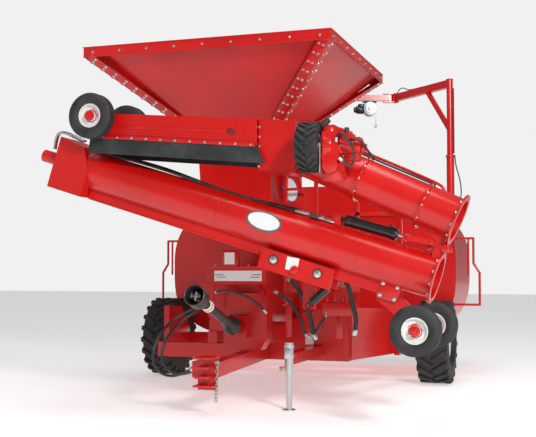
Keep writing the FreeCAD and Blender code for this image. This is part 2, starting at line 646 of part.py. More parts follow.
# support wheels under the fold, on an arm from the channel
sup_s = 5.0
sup_n = -(hinge_off + tube_r + 237.5)
sup_y0 = -360.0
sup_y1 = 540.0
leg1 = plate1([(-420, rail_n0), (-200, rail_n0), (sup_s + 45, sup_n + 30), (sup_s + 20, sup_n - 45),
               (sup_s - 60, sup_n - 45), (-420, rail_n0 - 60)], -40, 40)
boss = rod(L1(sup_s, sup_n, sup_y0 + small_tyre_w / 2.0 + 20),
           L1(sup_s, sup_n, sup_y1 - small_tyre_w / 2.0 - 20), 32.0)
sup = leg1.fuse(boss).cut(rod(L1(sup_s, sup_n, -600), L1(sup_s, sup_n, 700), small_axle_r + pin_gap))
shapes["support_leg"] = sup.removeSplitter()


def wheel_pair(prefix, P, ya, yb):
    ca = V(P.x, auger_y + ya, P.z)
    cb = V(P.x, auger_y + yb, P.z)
    shapes[prefix + "_tyres"] = Part.makeCompound([tyre(c, Y, small_tyre_d, small_tyre_w, small_bead_d)
                                                   for c in (ca, cb)])
    r1 = rim(ca, Y, small_tyre_w, small_bead_d, small_axle_r - 1, 38.0, -12.0, 4.0)
    r2 = rim(cb, Y, small_tyre_w, small_bead_d, small_axle_r - 1, 38.0, 12.0, 4.0)
    shaft = rod(ca - Y * 60, cb + Y * 60, small_axle_r)
    shapes[prefix + "_wheels"] = r1.fuse(r2).fuse(shaft)


wheel_pair("support", L1(sup_s, sup_n), sup_y0, sup_y1)

# ---- intake section
tube2 = pipe(L2(face_gap + flange_t, hinge_off), L2(intake_tube_len, hinge_off), tube_r, tube_r - tube_t)
shapes["intake_auger_tube"] = tube2
yb0 = auger_y - box_half_depth
yb1 = auger_y + box_half_depth
bx_l = -640.0
bx_r = 760.0
bx_r2 = 1075.0
top_l = 2618.0
top_r = 2503.0
bot_l = 2412.0
bot_r = 2273.0
bt = box_sheet
outer_box = prism_y([(bx_l, top_l), (bx_r, top_r), (bx_r, bot_r), (bx_l - 125, bot_l)], yb0, yb1)
inner_box = prism_y([(bx_l + 4, top_l - bt), (bx_r + 20, top_r - bt), (bx_r + 20, bot_r - 40),
                     (bx_l - 120, bot_l - 40)], yb0 + bt, yb1 - bt)
boot_half = tube_r + 30.0
trough = outer_box.cut(inner_box)
shapes["intake_hopper"] = max(trough.Solids, key=lambda q: q.Volume)
boot_o = prism_y([(bx_r, top_r), (bx_r2, 2480.0), (bx_r2, 2050.0), (bx_r, 2085.0)], auger_y - boot_half,
                 auger_y + boot_half)
boot_i = prism_y([(bx_r - 20, top_r - bt), (bx_r2 - bt, 2480.0 - bt), (bx_r2 - bt, 2050.0 + bt),
                  (bx_r - 20, 2085.0 + bt)], auger_y - boot_half + bt, auger_y + boot_half - bt)
boot = boot_o.cut(boot_i).cut(rod(L2(0, hinge_off), L2(intake_tube_len, hinge_off), tube_r))
shapes["intake_boot"] = max(boot.Solids, key=lambda q: q.Volume)
sk = [(bx_l - 118, bot_l + 12), (bx_r, bot_r + 12), (bx_r + 70, bot_r - 140), (bx_l - 140, bot_l - 130)]
shapes["hopper_skirt"] = Part.makeCompound([prism_y(sk, yb0 - skirt_t, yb0),
                                            prism_y(sk, yb1, yb1 + skirt_t)])

# small wheels at the far end of the intake hopper
iw = V(-694.0, auger_y, 2579.0)
iw_y = box_half_depth + skirt_t + 12.0 + small_tyre_w / 2.0 + 10.0
axle_tube = rod(V(iw.x, auger_y - box_half_depth - 20, iw.z),
                V(iw.x, auger_y + box_half_depth + 20, iw.z), 26.0)
axle_lug = prism_y([(iw.x - 30, iw.z - 30), (iw.x + 60, iw.z - 30), (iw.x + 60, iw.z + 30),
                    (iw.x - 30, iw.z + 30)], auger_y - box_half_depth - 16, auger_y + box_half_depth + 16)
iw_bore = rod(V(iw.x, auger_y - 600, iw.z), V(iw.x, auger_y + 600, iw.z), small_axle_r + pin_gap)
ax = axle_tube.fuse(axle_lug).cut(outer_box).cut(iw_bore)
shapes["intake_hopper"] = shapes["intake_hopper"].fuse(ax).cut(iw_bore).removeSplitter()
wheel_pair("intake", iw, -iw_y, iw_y)

# drive wheel beside the intake section, with its gearbox and motor
dw = V(1266.0, auger_y - 410.0, 2226.0)
shapes["drive_tyre"] = tyre(dw, X, drive_tyre_d, drive_tyre_w, small_bead_d)
shapes["drive_wheel"] = rim(dw, X, drive_tyre_w, small_bead_d, small_axle_r - 1, 38.0, 40.0,
                            4.0).fuse(rod(dw, dw + X * 160, small_axle_r))
gx0 = dw.x + drive_tyre_w / 2.0 + 20.0
dgear = box(gx0, gx0 + 130, dw.y - 95, dw.y + 105, dw.z - 120, dw.z + 110)
dgear = dgear.cut(rod(dw, dw + X * 200, small_axle_r + pin_gap))
dmotor = box(gx0 + 130, gx0 + 290, dw.y - 60, dw.y + 60, dw.z - 60, dw.z + 60)
mount = box(gx0 + 20, gx0 + 110, dw.y + 105, auger_y, dw.z - 160, dw.z + 40)
mount = max(mount.cut(rod(L2(0, hinge_off), L2(intake_tube_len + 600, hinge_off), tube_r)).Solids,
            key=lambda q: q.BoundBox.YMin * -1)
shapes["drive_gearbox"] = dgear.fuse(dmotor).fuse(mount).removeSplitter()

# ---- fold cylinder, rocker and link
A = (-921.0, -15.0)
B = (-327.0, -5.0)
R = (-130.0, -38.0)
Lk = (120.0, 0.0)


def seg(p, q):
    return math.hypot(p[0] - q[0], p[1] - q[1])


LkS = L2(Lk[0], Lk[1])
LkS = ((LkS - H).dot(t1), (LkS - H).dot(n1))
LkE = (Lk[0], -Lk[1])
rocker_len = seg(R, B)
link_len = seg(B, LkS)
dRL = seg(R, LkE)
aa = (rocker_len ** 2 - link_len ** 2 + dRL ** 2) / (2 * dRL)
hh = math.sqrt(rocker_len ** 2 - aa ** 2)
ex = ((LkE[0] - R[0]) / dRL, (LkE[1] - R[1]) / dRL)
B2 = (R[0] + aa * ex[0] - hh * ex[1], R[1] + aa * ex[1] + hh * ex[0])


def ang(p, q):
    return math.degrees(math.atan2(q[1] - p[1], q[0] - p[0]))


cyl_r = 45.0
cyl_rod_r = 18.0
eye_r = 30.0
eye_t = 20.0
cyl_eye_r = 16.0
A3 = L1(A[0], A[1])
B3 = L1(B[0], B[1])
cd = B3 - A3
cyl_len = cd.Length
cd.normalize()
barrel_len = cyl_len - 85.0
rod_gap = free_gap
barrel = pipe(A3 + cd * 80, A3 + cd * barrel_len, cyl_r,
              cyl_rod_r + 8).fuse(rod(A3 + cd * 74, A3 + cd * 95, cyl_r)).fuse(rod(A3, A3 + cd * 80, 18.0))
barrel = barrel.fuse(rod(V(A3.x, auger_y - eye_t, A3.z), V(A3.x, auger_y + eye_t, A3.z), eye_r))
barrel = barrel.cut(rod(V(A3.x, auger_y - 40, A3.z), V(A3.x, auger_y + 40, A3.z), cyl_eye_r + pin_gap))
shapes["fold_cylinder_barrel"] = barrel.removeSplitter()
crod = rod(A3 + cd * 105, B3 - cd * 20,
           cyl_rod_r).fuse(rod(V(B3.x, auger_y - eye_t, B3.z), V(B3.x, auger_y + eye_t, B3.z), eye_r))
crod = crod.cut(rod(V(B3.x, auger_y - 40, B3.z), V(B3.x, auger_y + 40, B3.z), cyl_eye_r))
shapes["fold_cylinder_rod"] = crod.removeSplitter()
# lugs on the tube for the barrel's pin and the rocker's pin
lug_y0 = eye_t + 6.0
lug_y1 = lug_y0 + 12.0


def lugs(s, n, r, half, y0, y1, pin_r, pin_y):
    res = []
    for sy in (-1, 1):
        a, b = (y0, y1) if sy > 0 else (-y1, -y0)
        l = plate1([(s - half, -hinge_off + tube_r - 20), (s + half, -hinge_off + tube_r - 20),
                    (s + r * 0.9, n + r * 0.3), (s + r * 0.5, n + r * 0.85), (s - r * 0.5, n + r * 0.85),
                    (s - r * 0.9, n + r * 0.3)], a, b)
        res.append(l)
    pin = rod(L1(s, n, -pin_y), L1(s, n, pin_y), pin_r)
    body = res[0].fuse(res[1]).fuse(pin)
    body = body.cut(rod(L1(-discharge_len, -hinge_off), L1(-face_gap - flange_t, -hinge_off), tube_r))
    return max(body.Solids, key=lambda q: q.Volume)


lug_a = lugs(A[0], A[1], 34.0, 60.0, lug_y0, lug_y1, cyl_eye_r, lug_y1)
rk_y0 = eye_t + 6.0
rk_y1 = rk_y0 + 10.0
lug_r = lugs(R[0], R[1], 26.0, 36.0, 0.0, rk_y0 - 6.0, 14.0, rk_y1 + 6.0)
shapes["discharge_auger_tube"] = shapes["discharge_auger_tube"].fuse(lug_a).fuse(lug_r).removeSplitter()


def strap(p, q, r, y0, y1, bore_p, bore_q):
    """Two flat straps joined by a tube round their pin at p."""
    d = q - p
    d.normalize()
    nn = V(-d.z, 0, d.x)
    res = None
    for sy in (-1, 1):
        a, b = (y0, y1) if sy > 0 else (-y1, -y0)
        c1 = rod(V(p.x, auger_y + a, p.z), V(p.x, auger_y + b, p.z), r)
        c2 = rod(V(q.x, auger_y + a, q.z), V(q.x, auger_y + b, q.z), r)
        k = [p + nn * r, q + nn * r, q - nn * r, p - nn * r]
        mid = prism_y([(v.x, v.z) for v in k], auger_y + a, auger_y + b)
        one = c1.fuse(c2).fuse(mid)
        one = one.cut(rod(V(p.x, auger_y - 100, p.z), V(p.x, auger_y + 100, p.z), bore_p))
        one = one.cut(rod(V(q.x, auger_y - 100, q.z), V(q.x, auger_y + 100, q.z), bore_q))
        res = [one.removeSplitter()] if res is None else res + [one.removeSplitter()]
    return Part.makeCompound(res)


R3 = L1(R[0], R[1])
LkP = L2(Lk[0], Lk[1])
rocker = strap(R3, B3, 24.0, rk_y0, rk_y1, 14.0 + pin_gap, 12.0)
link_y0 = 88.0
link_y1 = 98.0
studs = [rod(V(B3.x, auger_y + s * rk_y0, B3.z), V(B3.x, auger_y + s * (link_y0 - 4.0), B3.z), 12.0)
         for s in (1, -1)]
halves = [k.fuse(studs[0] if k.BoundBox.YMin > auger_y else studs[1]).removeSplitter()
          for k in rocker.Solids]
shapes["fold_rocker"] = Part.makeCompound(halves)
lk_pin = rod(V(LkP.x, auger_y - link_y1, LkP.z), V(LkP.x, auger_y + link_y1, LkP.z), 12.0)
shapes["intake_flange"] = shapes["intake_flange"].fuse(lk_pin).removeSplitter()
shapes["fold_link"] = strap(B3, LkP, 22.0, link_y0, link_y1, 12.0, 12.0 + pin_gap)

# ---------------------------------------------------------------- tilt support of the auger
Q = L1(tilt_s, tilt_n)
arm_x = Q.x
arm_y1 = front_beam_y + beam_w / 2.0
post_top = 1120.0
post_box = box(front_beam_half - 150, front_beam_half, front_beam_y0 + gus_t, front_beam_y1, beam_z1,
               post_top)
arm_pts = [(front_beam_y1, post_top - 80), (front_beam_y1, post_top + 70), (auger_y + 200, Q.z + 70),
           (auger_y + 200, Q.z - 70)]
arm = prism_x(arm_pts, arm_x - 70, arm_x + 70).fuse(post_box)
tilt_pin = rod(V(Q.x, auger_y + 200, Q.z), V(Q.x, auger_y - cheek_y - cheek_t - 20, Q.z), tilt_pin_r)

C0 = V(Q.x + 10.0, auger_y + 240.0, Q.z - 300.0)
C1n = L1(tilt_s + 280.0, tilt_n + 20.0)
C1 = V(C1n.x, auger_y + 240.0, C1n.z)
td = C1 - C0
tcyl = td.Length
td.normalize()
tb = rod(C0, C0 + td * 50, 15.0).fuse(pipe(C0 + td * 45, C0 + td * (tcyl - 120), 36.0,
                                           24.0)).fuse(rod(C0 + td * 45, C0 + td * 60, 36.0))
tb = tb.fuse(rod(C0 - Y * 18, C0 + Y * 18, 28.0)).cut(rod(C0 - Y * 30, C0 + Y * 30, 14.0 + pin_gap))
shapes["tilt_cylinder_barrel"] = tb.removeSplitter()
tr = rod(C0 + td * 110, C1 - td * 15,
         16.0).fuse(rod(C1 - Y * 18, C1 + Y * 18, 28.0)).cut(rod(C1 - Y * 30, C1 + Y * 30, 14.0))
shapes["tilt_cylinder_rod"] = tr.removeSplitter()
foot = box(Q.x - 50, Q.x + 60, C0.y + 44, C0.y + 56, C0.z - 30, Q.z - 66)
lug = foot.fuse(rod(C0 - Y * 22, C0 + Y * 50, 14.0)).fuse(box(Q.x - 50, Q.x + 60, C0.y + 44, C0.y + 56,
                                                              C0.z - 30, C0.z + 30))
shapes["auger_arm"] = arm.fuse(tilt_pin).fuse(lug).removeSplitter()
el = box(C1.x - 40, C1.x + 40, C1.y - 36, C1.y - 24, C1.z - 32, C1.z + 32)
el = el.fuse(box(C1.x - 40, C1.x + 40, auger_y + cheek_y + cheek_t, C1.y - 24, C1.z + 10, C1.z + 30))
el = el.fuse(rod(C1 - Y * 30, C1 + Y * 20, 14.0 - 1.0))
br = [c.fuse(el).removeSplitter() if c.BoundBox.YMin > auger_y else c
      for c in shapes["tilt_bracket"].Solids]
shapes["tilt_bracket"] = Part.makeCompound(br)

# ---------------------------------------------------------------- crane
cpost = rod(V(post_x, post_y, post_z0), V(post_x, post_y, collar_z),
            post_r).cut(rod(V(post_x, post_y, collar_z - 200), V(post_x, post_y, collar_z + 1),
                            mast_r - 8 + pin_gap))
cfoot = box(post_x - 60, post_x + 60, tunnel_y0 - 60, tunnel_y0, post_z0 - 300,
            post_z0 - 20).fuse(box(post_x - 60, post_x + 60, tunnel_y0 - 60, post_y + 60, post_z0 - 20,
                                   post_z0)).removeSplitter()
shapes["crane_post"] = cpost.fuse(cfoot).removeSplitter()
mast = rod(V(post_x, post_y, collar_z - 180), V(post_x, post_y, collar_z + 5), mast_r - 8)
mast = mast.fuse(rod(V(post_x, post_y, collar_z + 3), V(post_x, post_y, arm_z + arm_h / 2.0), mast_r))
e0 = V(post_x, post_y, arm_z)
e1 = V(post_x + elbow_dx, post_y + elbow_dy, arm_z)
mast = mast.fuse(bar(e0, e1, arm_w, arm_h))
br0 = V(post_x, post_y, arm_z - 560)
ed = e1 - e0
arm_len = ed.Length
ed.normalize()
br1 = e0 + ed * 430 - V(0, 0, arm_h / 2.0)
mast = mast.fuse(bar(br0, br1 + V(0, 0, 10), 40, 50))
elbow_boss = rod(V(e1.x, e1.y, arm_z - arm_h / 2.0), V(e1.x, e1.y, arm_z + arm_h / 2.0), 50.0)
mast = mast.fuse(elbow_boss).cut(rod(V(e1.x, e1.y, arm_z - 80), V(e1.x, e1.y, arm_z + 80), 20.0 + pin_gap))
shapes["crane_mast"] = mast.removeSplitter()
oa = math.radians(outer_angle)
od = V(math.cos(oa), math.sin(oa), 0)
plate_gap = 5.0
outer_arm = bar(e1 + od * 70, e1 + od * outer_len, arm_w, arm_h * 0.8)
for sz in (-1, 1):
    zc = arm_z + sz * (arm_h / 2.0 + plate_gap + 5.0)
    outer_arm = outer_arm.fuse(bar(e1 + V(0, 0, zc - arm_z), e1 + od * 160 + V(0, 0, zc - arm_z), arm_w,
                                   10.0))
    outer_arm = outer_arm.fuse(rod(V(e1.x, e1.y, zc - 5), V(e1.x, e1.y, zc + 5), 42.0))
outer_arm = outer_arm.fuse(bar(e1 + od * 75, e1 + od * 85, arm_w, arm_h + 2 * plate_gap + 10))
outer_arm = outer_arm.fuse(rod(V(e1.x, e1.y, arm_z - 65), V(e1.x, e1.y, arm_z + 65), 20.0))
shapes["crane_arm"] = outer_arm.removeSplitter()
wc = e1 + od * 330.0 - V(0, 0, arm_h * 0.4)
side = V(-od.y, od.x, 0)
drum_c = wc - V(0, 0, 110)
winch = bar(wc - od * 90 - V(0, 0, 8), wc + od * 90 - V(0, 0, 8), 160, 16)
winch = winch.fuse(rod(drum_c - side * 70, drum_c + side * 70, 75.0)).fuse(bar(wc - od * 70 - V(0, 0, 60),
                                                                               wc + od * 70 - V(0, 0, 60),
                                                                               12, 110))
shapes["crane_winch"] = winch.removeSplitter()

# ---------------------------------------------------------------- bag guides beside the tunnel


def bent(pts, r):
    """Round bar through the points, with a ball at each corner."""
    res = None
    for a, b in zip(pts[:-1], pts[1:]):
        c = rod(a, b, r).fuse(Part.makeSphere(r, b))
        res = c if res is None else res.fuse(c)
    return res


guides = []
for s in (-1, 1):
    gy = tunnel_y0 + 200.0
    root = s * (tunnel_half_w - 100.0)
    near = s * (tunnel_half_w + 180.0)
    far = s * (tunnel_half_w + 250.0)
    g1 = bent([V(root, gy, 1650), V(near, gy, 1650), V(near, gy, 1350), V(far, gy, 1240),
               V(far, gy, 860), V(root, gy, 860)], 14.0)
    short_x = s * (tunnel_half_w + 120.0)
    g1 = g1.fuse(bent([V(short_x, gy, 1650), V(short_x, gy, 1220)], 12.0))
    g1 = g1.cut(skin_o).cut(skin_i)
    guides.append(max(g1.Solids, key=lambda q: q.Volume))
shapes["bag_guides"] = Part.makeCompound(guides)

# ---------------------------------------------------------------- ladder to the hopper
lad_x0 = 560.0
lad_x1 = 860.0
lad_y = -2240.0
lad_z0 = rail_z1 + 420.0
lad_z1 = 2480.0
rung_r = 14.0
rung_z0 = lad_z0 + 175.0
rung_pitch = 270.0
lad = bar(V(lad_x0, lad_y, lad_z0 + 30), V(lad_x0, lad_y, lad_z1), 30, 50, Y)
lad = lad.fuse(bar(V(lad_x1, lad_y, lad_z0 + 30), V(lad_x1, lad_y, lad_z1), 30, 50, Y))
for i in range(5):
    rung_z = rung_z0 + i * rung_pitch
    lad = lad.fuse(rod(V(lad_x0, lad_y, rung_z), V(lad_x1, lad_y, rung_z), rung_r))
lad = lad.fuse(box(lad_x0 - 15, lad_x1 + 15, lad_y - 20, leg_y - 40, lad_z0, lad_z0 + 40))
lad = lad.fuse(box(rail_x + 40, lad_x1 + 15, leg_y - 40, leg_y, lad_z0, lad_z0 + 40))
shapes["ladder"] = lad.removeSplitter()

# ---------------------------------------------------------------- place and write
x0 = min(s.optimalBoundingBox(False, False).XMin for n, s in shapes.items() if n not in cord_names)
x1 = max(s.optimalBoundingBox(False, False).XMax for n, s in shapes.items() if n not in cord_names)
y0 = min(s.optimalBoundingBox(False, False).YMin for n, s in shapes.items() if n not in cord_names)
y1 = max(s.optimalBoundingBox(False, False).YMax for n, s in shapes.items() if n not in cord_names)
shift = V(-(x0 + x1) / 2.0, -(y0 + y1) / 2.0, 0)
for name, s in shapes.items():
    c = s.copy()
    c.translate(shift)
    c.exportStep("parts/" + name + ".step")


def say(name, v):
    print("POINT", name, round(v.x + shift.x, 4), round(v.y + shift.y, 4), round(v.z, 4))


print("BOX", x0, x1, y0, y1)
print("SHIFT", shift.x, shift.y)
say("wheel_left", V(-track_half, 0, wheel_z))
say("wheel_right", V(track_half, 0, wheel_z))
say("hinge", H)
say("tilt", Q)
say("cyl_A", A3)
say("cyl_B", B3)
say("rocker_R", R3)
say("link_L", LkP)
say("support", L1(sup_s, sup_n))
say("intake_wheels", iw)
say("drive_wheel", dw)
say("tilt_C0", C0)
say("tilt_C1", C1)
say("post", V(post_x, post_y, collar_z))
say("elbow", e1)
say("pto", pto_joint)
say("pto_end", pto_joint + pto_dir * pto_len)
say("hitch", V(tongue_x, hitch_y, hitch_z))
say("screw", V(0, 0, housing_z))
say("jack", V(jack_x, jack_y, 0))
for name, route in (("outer", route_outer), ("inner", route_inner)):
    for i, p in enumerate(route):
        say("hose_" + name + "_" + str(i), p)
cdir = B3 - A3
cdir.normalize()
print("DIR cyl", cdir.x, cdir.y, cdir.z)
print("DIR tilt_cyl", td.x, td.y, td.z)
print("VAL cyl_turn", ang(A, B) - ang(A, B2))
print("VAL cyl_stroke", seg(A, B2) - seg(A, B))
print("VAL rocker_turn", ang(R, B) - ang(R, B2))
print("VAL link_turn", (ang(LkS, B) - ang(LkE, B2)) % 360.0 - fold_angle)
for name, s in shapes.items():
    if not s.isValid():
        print("INVALID", name)
    print("NODE", name, len(s.Solids), round(s.Volume / 1e9, 6))
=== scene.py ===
import bpy
import math
from mathutils import Matrix, Vector


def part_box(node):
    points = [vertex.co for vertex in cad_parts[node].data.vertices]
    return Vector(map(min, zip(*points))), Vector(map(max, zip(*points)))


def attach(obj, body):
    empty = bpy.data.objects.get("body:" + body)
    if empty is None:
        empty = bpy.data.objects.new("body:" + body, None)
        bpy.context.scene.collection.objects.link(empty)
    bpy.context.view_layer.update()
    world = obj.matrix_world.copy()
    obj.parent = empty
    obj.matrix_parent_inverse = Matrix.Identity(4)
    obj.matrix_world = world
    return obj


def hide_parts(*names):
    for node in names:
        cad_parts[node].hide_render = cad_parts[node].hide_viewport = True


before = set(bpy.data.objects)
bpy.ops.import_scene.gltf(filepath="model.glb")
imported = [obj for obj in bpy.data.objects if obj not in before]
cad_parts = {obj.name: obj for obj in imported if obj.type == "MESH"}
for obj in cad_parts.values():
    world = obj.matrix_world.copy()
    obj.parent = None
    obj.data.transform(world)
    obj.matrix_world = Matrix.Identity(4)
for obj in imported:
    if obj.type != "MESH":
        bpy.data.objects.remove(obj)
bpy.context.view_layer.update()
bpy.ops.object.select_all(action="DESELECT")

# ------------------------------------------------------------------ studio
# A flat pale floor, faintly self-lit, under three soft lamps. Only the camera sees
# the white backdrop. It stands low in front, a little to the machine's right.
bpy.ops.mesh.primitive_plane_add(size=1.0, location=(0, 0, -0.001))
floor = bpy.context.object
floor.name = "studio_floor"
floor.scale = (90, 90, 1)
bpy.ops.object.transform_apply(location=True, rotation=True, scale=True)
floor_paint = bpy.data.materials.new("pale_floor")
floor_paint.use_nodes = True
floor_bsdf = floor_paint.node_tree.nodes["Principled BSDF"]
floor_bsdf.inputs["Base Color"].default_value = (0.93, 0.93, 0.93, 1)
floor_bsdf.inputs["Roughness"].default_value = 0.9
floor_bsdf.inputs["Emission Color"].default_value = (1, 1, 1, 1)
floor_bsdf.inputs["Emission Strength"].default_value = 0.42
floor.data.materials.append(floor_paint)

world = bpy.data.worlds.new("studio_air")
bpy.context.scene.world = world
world.use_nodes = True
world.node_tree.nodes["Background"].inputs["Color"].default_value = (1, 1, 1, 1)
air = world.node_tree.nodes
air["Background"].inputs["Strength"].default_value = 0.24
backdrop = air.new("ShaderNodeBackground")
backdrop.inputs["Color"].default_value = (1, 1, 1, 1)
backdrop.inputs["Strength"].default_value = 0.88
who_looks = air.new("ShaderNodeLightPath")
blend = air.new("ShaderNodeMixShader")
world.node_tree.links.new(who_looks.outputs["Is Camera Ray"], blend.inputs[0])
world.node_tree.links.new(air["Background"].outputs[0], blend.inputs[1])
world.node_tree.links.new(backdrop.outputs[0], blend.inputs[2])
world.node_tree.links.new(blend.outputs[0], air["World Output"].inputs["Surface"])
for lamp, spot, aim, size, power in (
        ("key_lamp", (7.5, -10.5, 6.2), (0.2, -1.0, 1.6), 1.6, 900),
        ("fill_lamp", (-8.0, -8.0, 4.0), (-0.2, -1.0, 1.4), 6.0, 50),
        ("top_lamp", (1.0, -3.0, 9.5), (0.0, -0.5, 1.0), 5.0, 330)):
    bpy.ops.object.light_add(type="AREA", location=spot)
    light = bpy.context.object
    light.name = lamp
    light.data.size = size
    light.data.energy = power
    light.rotation_euler = (Vector(aim) - Vector(spot)).to_track_quat("-Z", "Y").to_euler()

bpy.ops.object.camera_add(location=(3.199, -10.282, 1.26))
camera = bpy.context.object
camera.data.sensor_width = 36.0
camera.data.lens = 66.8
camera.data.clip_end = 200
camera.rotation_euler = (math.radians(90 + 3.02), 0, math.radians(18.35))
bpy.context.scene.camera = camera
bpy.context.scene.view_settings.view_transform = "Standard"


# ------------------------------------------------------------------ chassis
# Welded box beams and plates: front beam, axle beam, rails, side frames, the
# drawbar and its clevis. All are sprayed in one red enamel after welding.
def enamel(name, colour, rough=0.26, grime=0.10):
    """Sprayed gloss enamel: slight orange peel, uneven tone and dull, dusty patches."""
    m = bpy.data.materials.new(name)
    m.use_nodes = True
    n = m.node_tree.nodes
    link = m.node_tree.links.new
    skin = n["Principled BSDF"]
    where = n.new("ShaderNodeTexCoord")
    broad = n.new("ShaderNodeTexNoise")
    broad.inputs["Scale"].default_value = 2.2
    broad.inputs["Detail"].default_value = 5
    peel = n.new("ShaderNodeTexNoise")
    peel.inputs["Scale"].default_value = 160
    peel.inputs["Detail"].default_value = 2
    tone = n.new("ShaderNodeValToRGB")
    tone.color_ramp.elements[0].position = 0.35
    tone.color_ramp.elements[1].position = 0.70
    tone.color_ramp.elements[0].color = (*[c * (1 - grime) for c in colour], 1)
    tone.color_ramp.elements[1].color = (*[min(1, c * (1 + grime * 0.6)) for c in colour], 1)
    gloss = n.new("ShaderNodeMapRange")
    gloss.inputs["To Min"].default_value = rough - 0.06
    gloss.inputs["To Max"].default_value = rough + 0.14
    bump = n.new("ShaderNodeBump")
    bump.inputs["Strength"].default_value = 0.05
    bump.inputs["Distance"].default_value = 0.002
    link(where.outputs["Object"], broad.inputs["Vector"])
    link(where.outputs["Object"], peel.inputs["Vector"])
    link(broad.outputs["Fac"], tone.inputs["Fac"])
    link(tone.outputs["Color"], skin.inputs["Base Color"])
    link(broad.outputs["Fac"], gloss.inputs["Value"])
    link(gloss.outputs["Result"], skin.inputs["Roughness"])
    link(peel.outputs["Fac"], bump.inputs["Height"])
    link(bump.outputs["Normal"], skin.inputs["Normal"])
    skin.inputs["Coat Weight"].default_value = 0.22
    skin.inputs["Coat Roughness"].default_value = 0.12
    return m


def coat(paint, *nodes):
    """Give CAD pieces their finish."""
    for node in nodes:
        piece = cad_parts[node]
        piece.data.materials.clear()
        piece.data.materials.append(paint)


red = enamel("red_enamel", (0.60, 0.006, 0.004))
coat(red, "front_beam", "axle_beam", "frame_rails", "side_frames", "front_gusset", "drawbar",
     "hitch_clevis", "jack_arm", "hopper_legs")


def settle(piece, name, body, paint, smooth=35):
    """Put a finished piece's place into its mesh, colour it and fix it to its body."""
    bpy.ops.object.select_all(action="DESELECT")
    piece.select_set(True)
    bpy.context.view_layer.objects.active = piece
    bpy.ops.object.transform_apply(location=True, rotation=True, scale=True)
    if smooth:
        bpy.ops.object.shade_smooth_by_angle(angle=math.radians(smooth))
    piece.name = name
    piece.data.name = name
    piece.data.materials.clear()
    piece.data.materials.append(paint)
    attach(piece, body)
    return piece


def gather(parts):
    """Join several loose shapes into one piece."""
    bpy.ops.object.select_all(action="DESELECT")
    for p in parts:
        p.select_set(True)
    bpy.context.view_layer.objects.active = parts[0]
    if len(parts) > 1:
        bpy.ops.object.join()
    return bpy.context.object


def soften(piece, width=0.003, segments=2):
    """Round the edges that a press, a saw or a file leaves."""
    bpy.context.view_layer.objects.active = piece
    edge = piece.modifiers.new("edge", "BEVEL")
    edge.width = width
    edge.segments = segments
    edge.limit_method = "ANGLE"
    bpy.ops.object.modifier_apply(modifier=edge.name)
    return piece


def slab(centre, size, along=(1, 0, 0), up=(0, 0, 1), edge=0.003):
    """A cut bar or plate: size along, across and up."""
    a = Vector(along).normalized()
    side = Vector(up).cross(a).normalized()
    top = a.cross(side)
    bpy.ops.mesh.primitive_cube_add(size=1.0)
    piece = bpy.context.object
    turn = Matrix((a, side, top)).transposed().to_4x4()
    piece.matrix_world = Matrix.Translation(Vector(centre)) @ turn @ Matrix.Diagonal((*size, 1))
    bpy.ops.object.transform_apply(location=True, rotation=True, scale=True)
    return soften(piece, edge)


def barrel(start, end, radius, radius_end=None, edge=0.003, sides=32):
    """A turned bar or cone between two points."""
    a, b = Vector(start), Vector(end)
    bpy.ops.mesh.primitive_cone_add(vertices=sides, radius1=radius, radius2=radius
                                    if radius_end is None else radius_end,
                                    depth=(b - a).length)
    piece = bpy.context.object
    piece.matrix_world = Matrix.Translation((a + b) / 2) @ (b - a).to_track_quat("Z",
            "Y").to_matrix().to_4x4()
    bpy.ops.object.transform_apply(location=True, rotation=True, scale=True)
    return soften(piece, edge)


def bolt_set(name, body, paint, places, outward, across=0.024, height=0.012):
    """Hexagon heads on washers, one at each place, facing outward."""
    out = Vector(outward).normalized()
    first = gather([barrel((0, 0, 0), (0, 0, height * 0.3), across * 0.75, edge=0.0008, sides=16),
                    barrel((0, 0, height * 0.3), (0, 0, height), across * 0.56, edge=0.0012, sides=6)])
    turn = out.to_track_quat("Z", "Y").to_matrix().to_4x4()
    heads = []
    for i, place in enumerate(places):
        head = first if i == 0 else first.copy()
        if i:
            head.data = first.data.copy()
            bpy.context.collection.objects.link(head)
        heads.append(head)
    for i, (head, place) in enumerate(zip(heads, places)):
        head.matrix_world = Matrix.Translation(Vector(place)) @ turn @ Matrix.Rotation(i * 0.7, 4, "Z")
        bpy.ops.object.select_all(action="DESELECT")
        head.select_set(True)
        bpy.context.view_layer.objects.active = head
        bpy.ops.object.transform_apply(location=True, rotation=True, scale=True)
    return settle(gather(heads), name, body, paint)


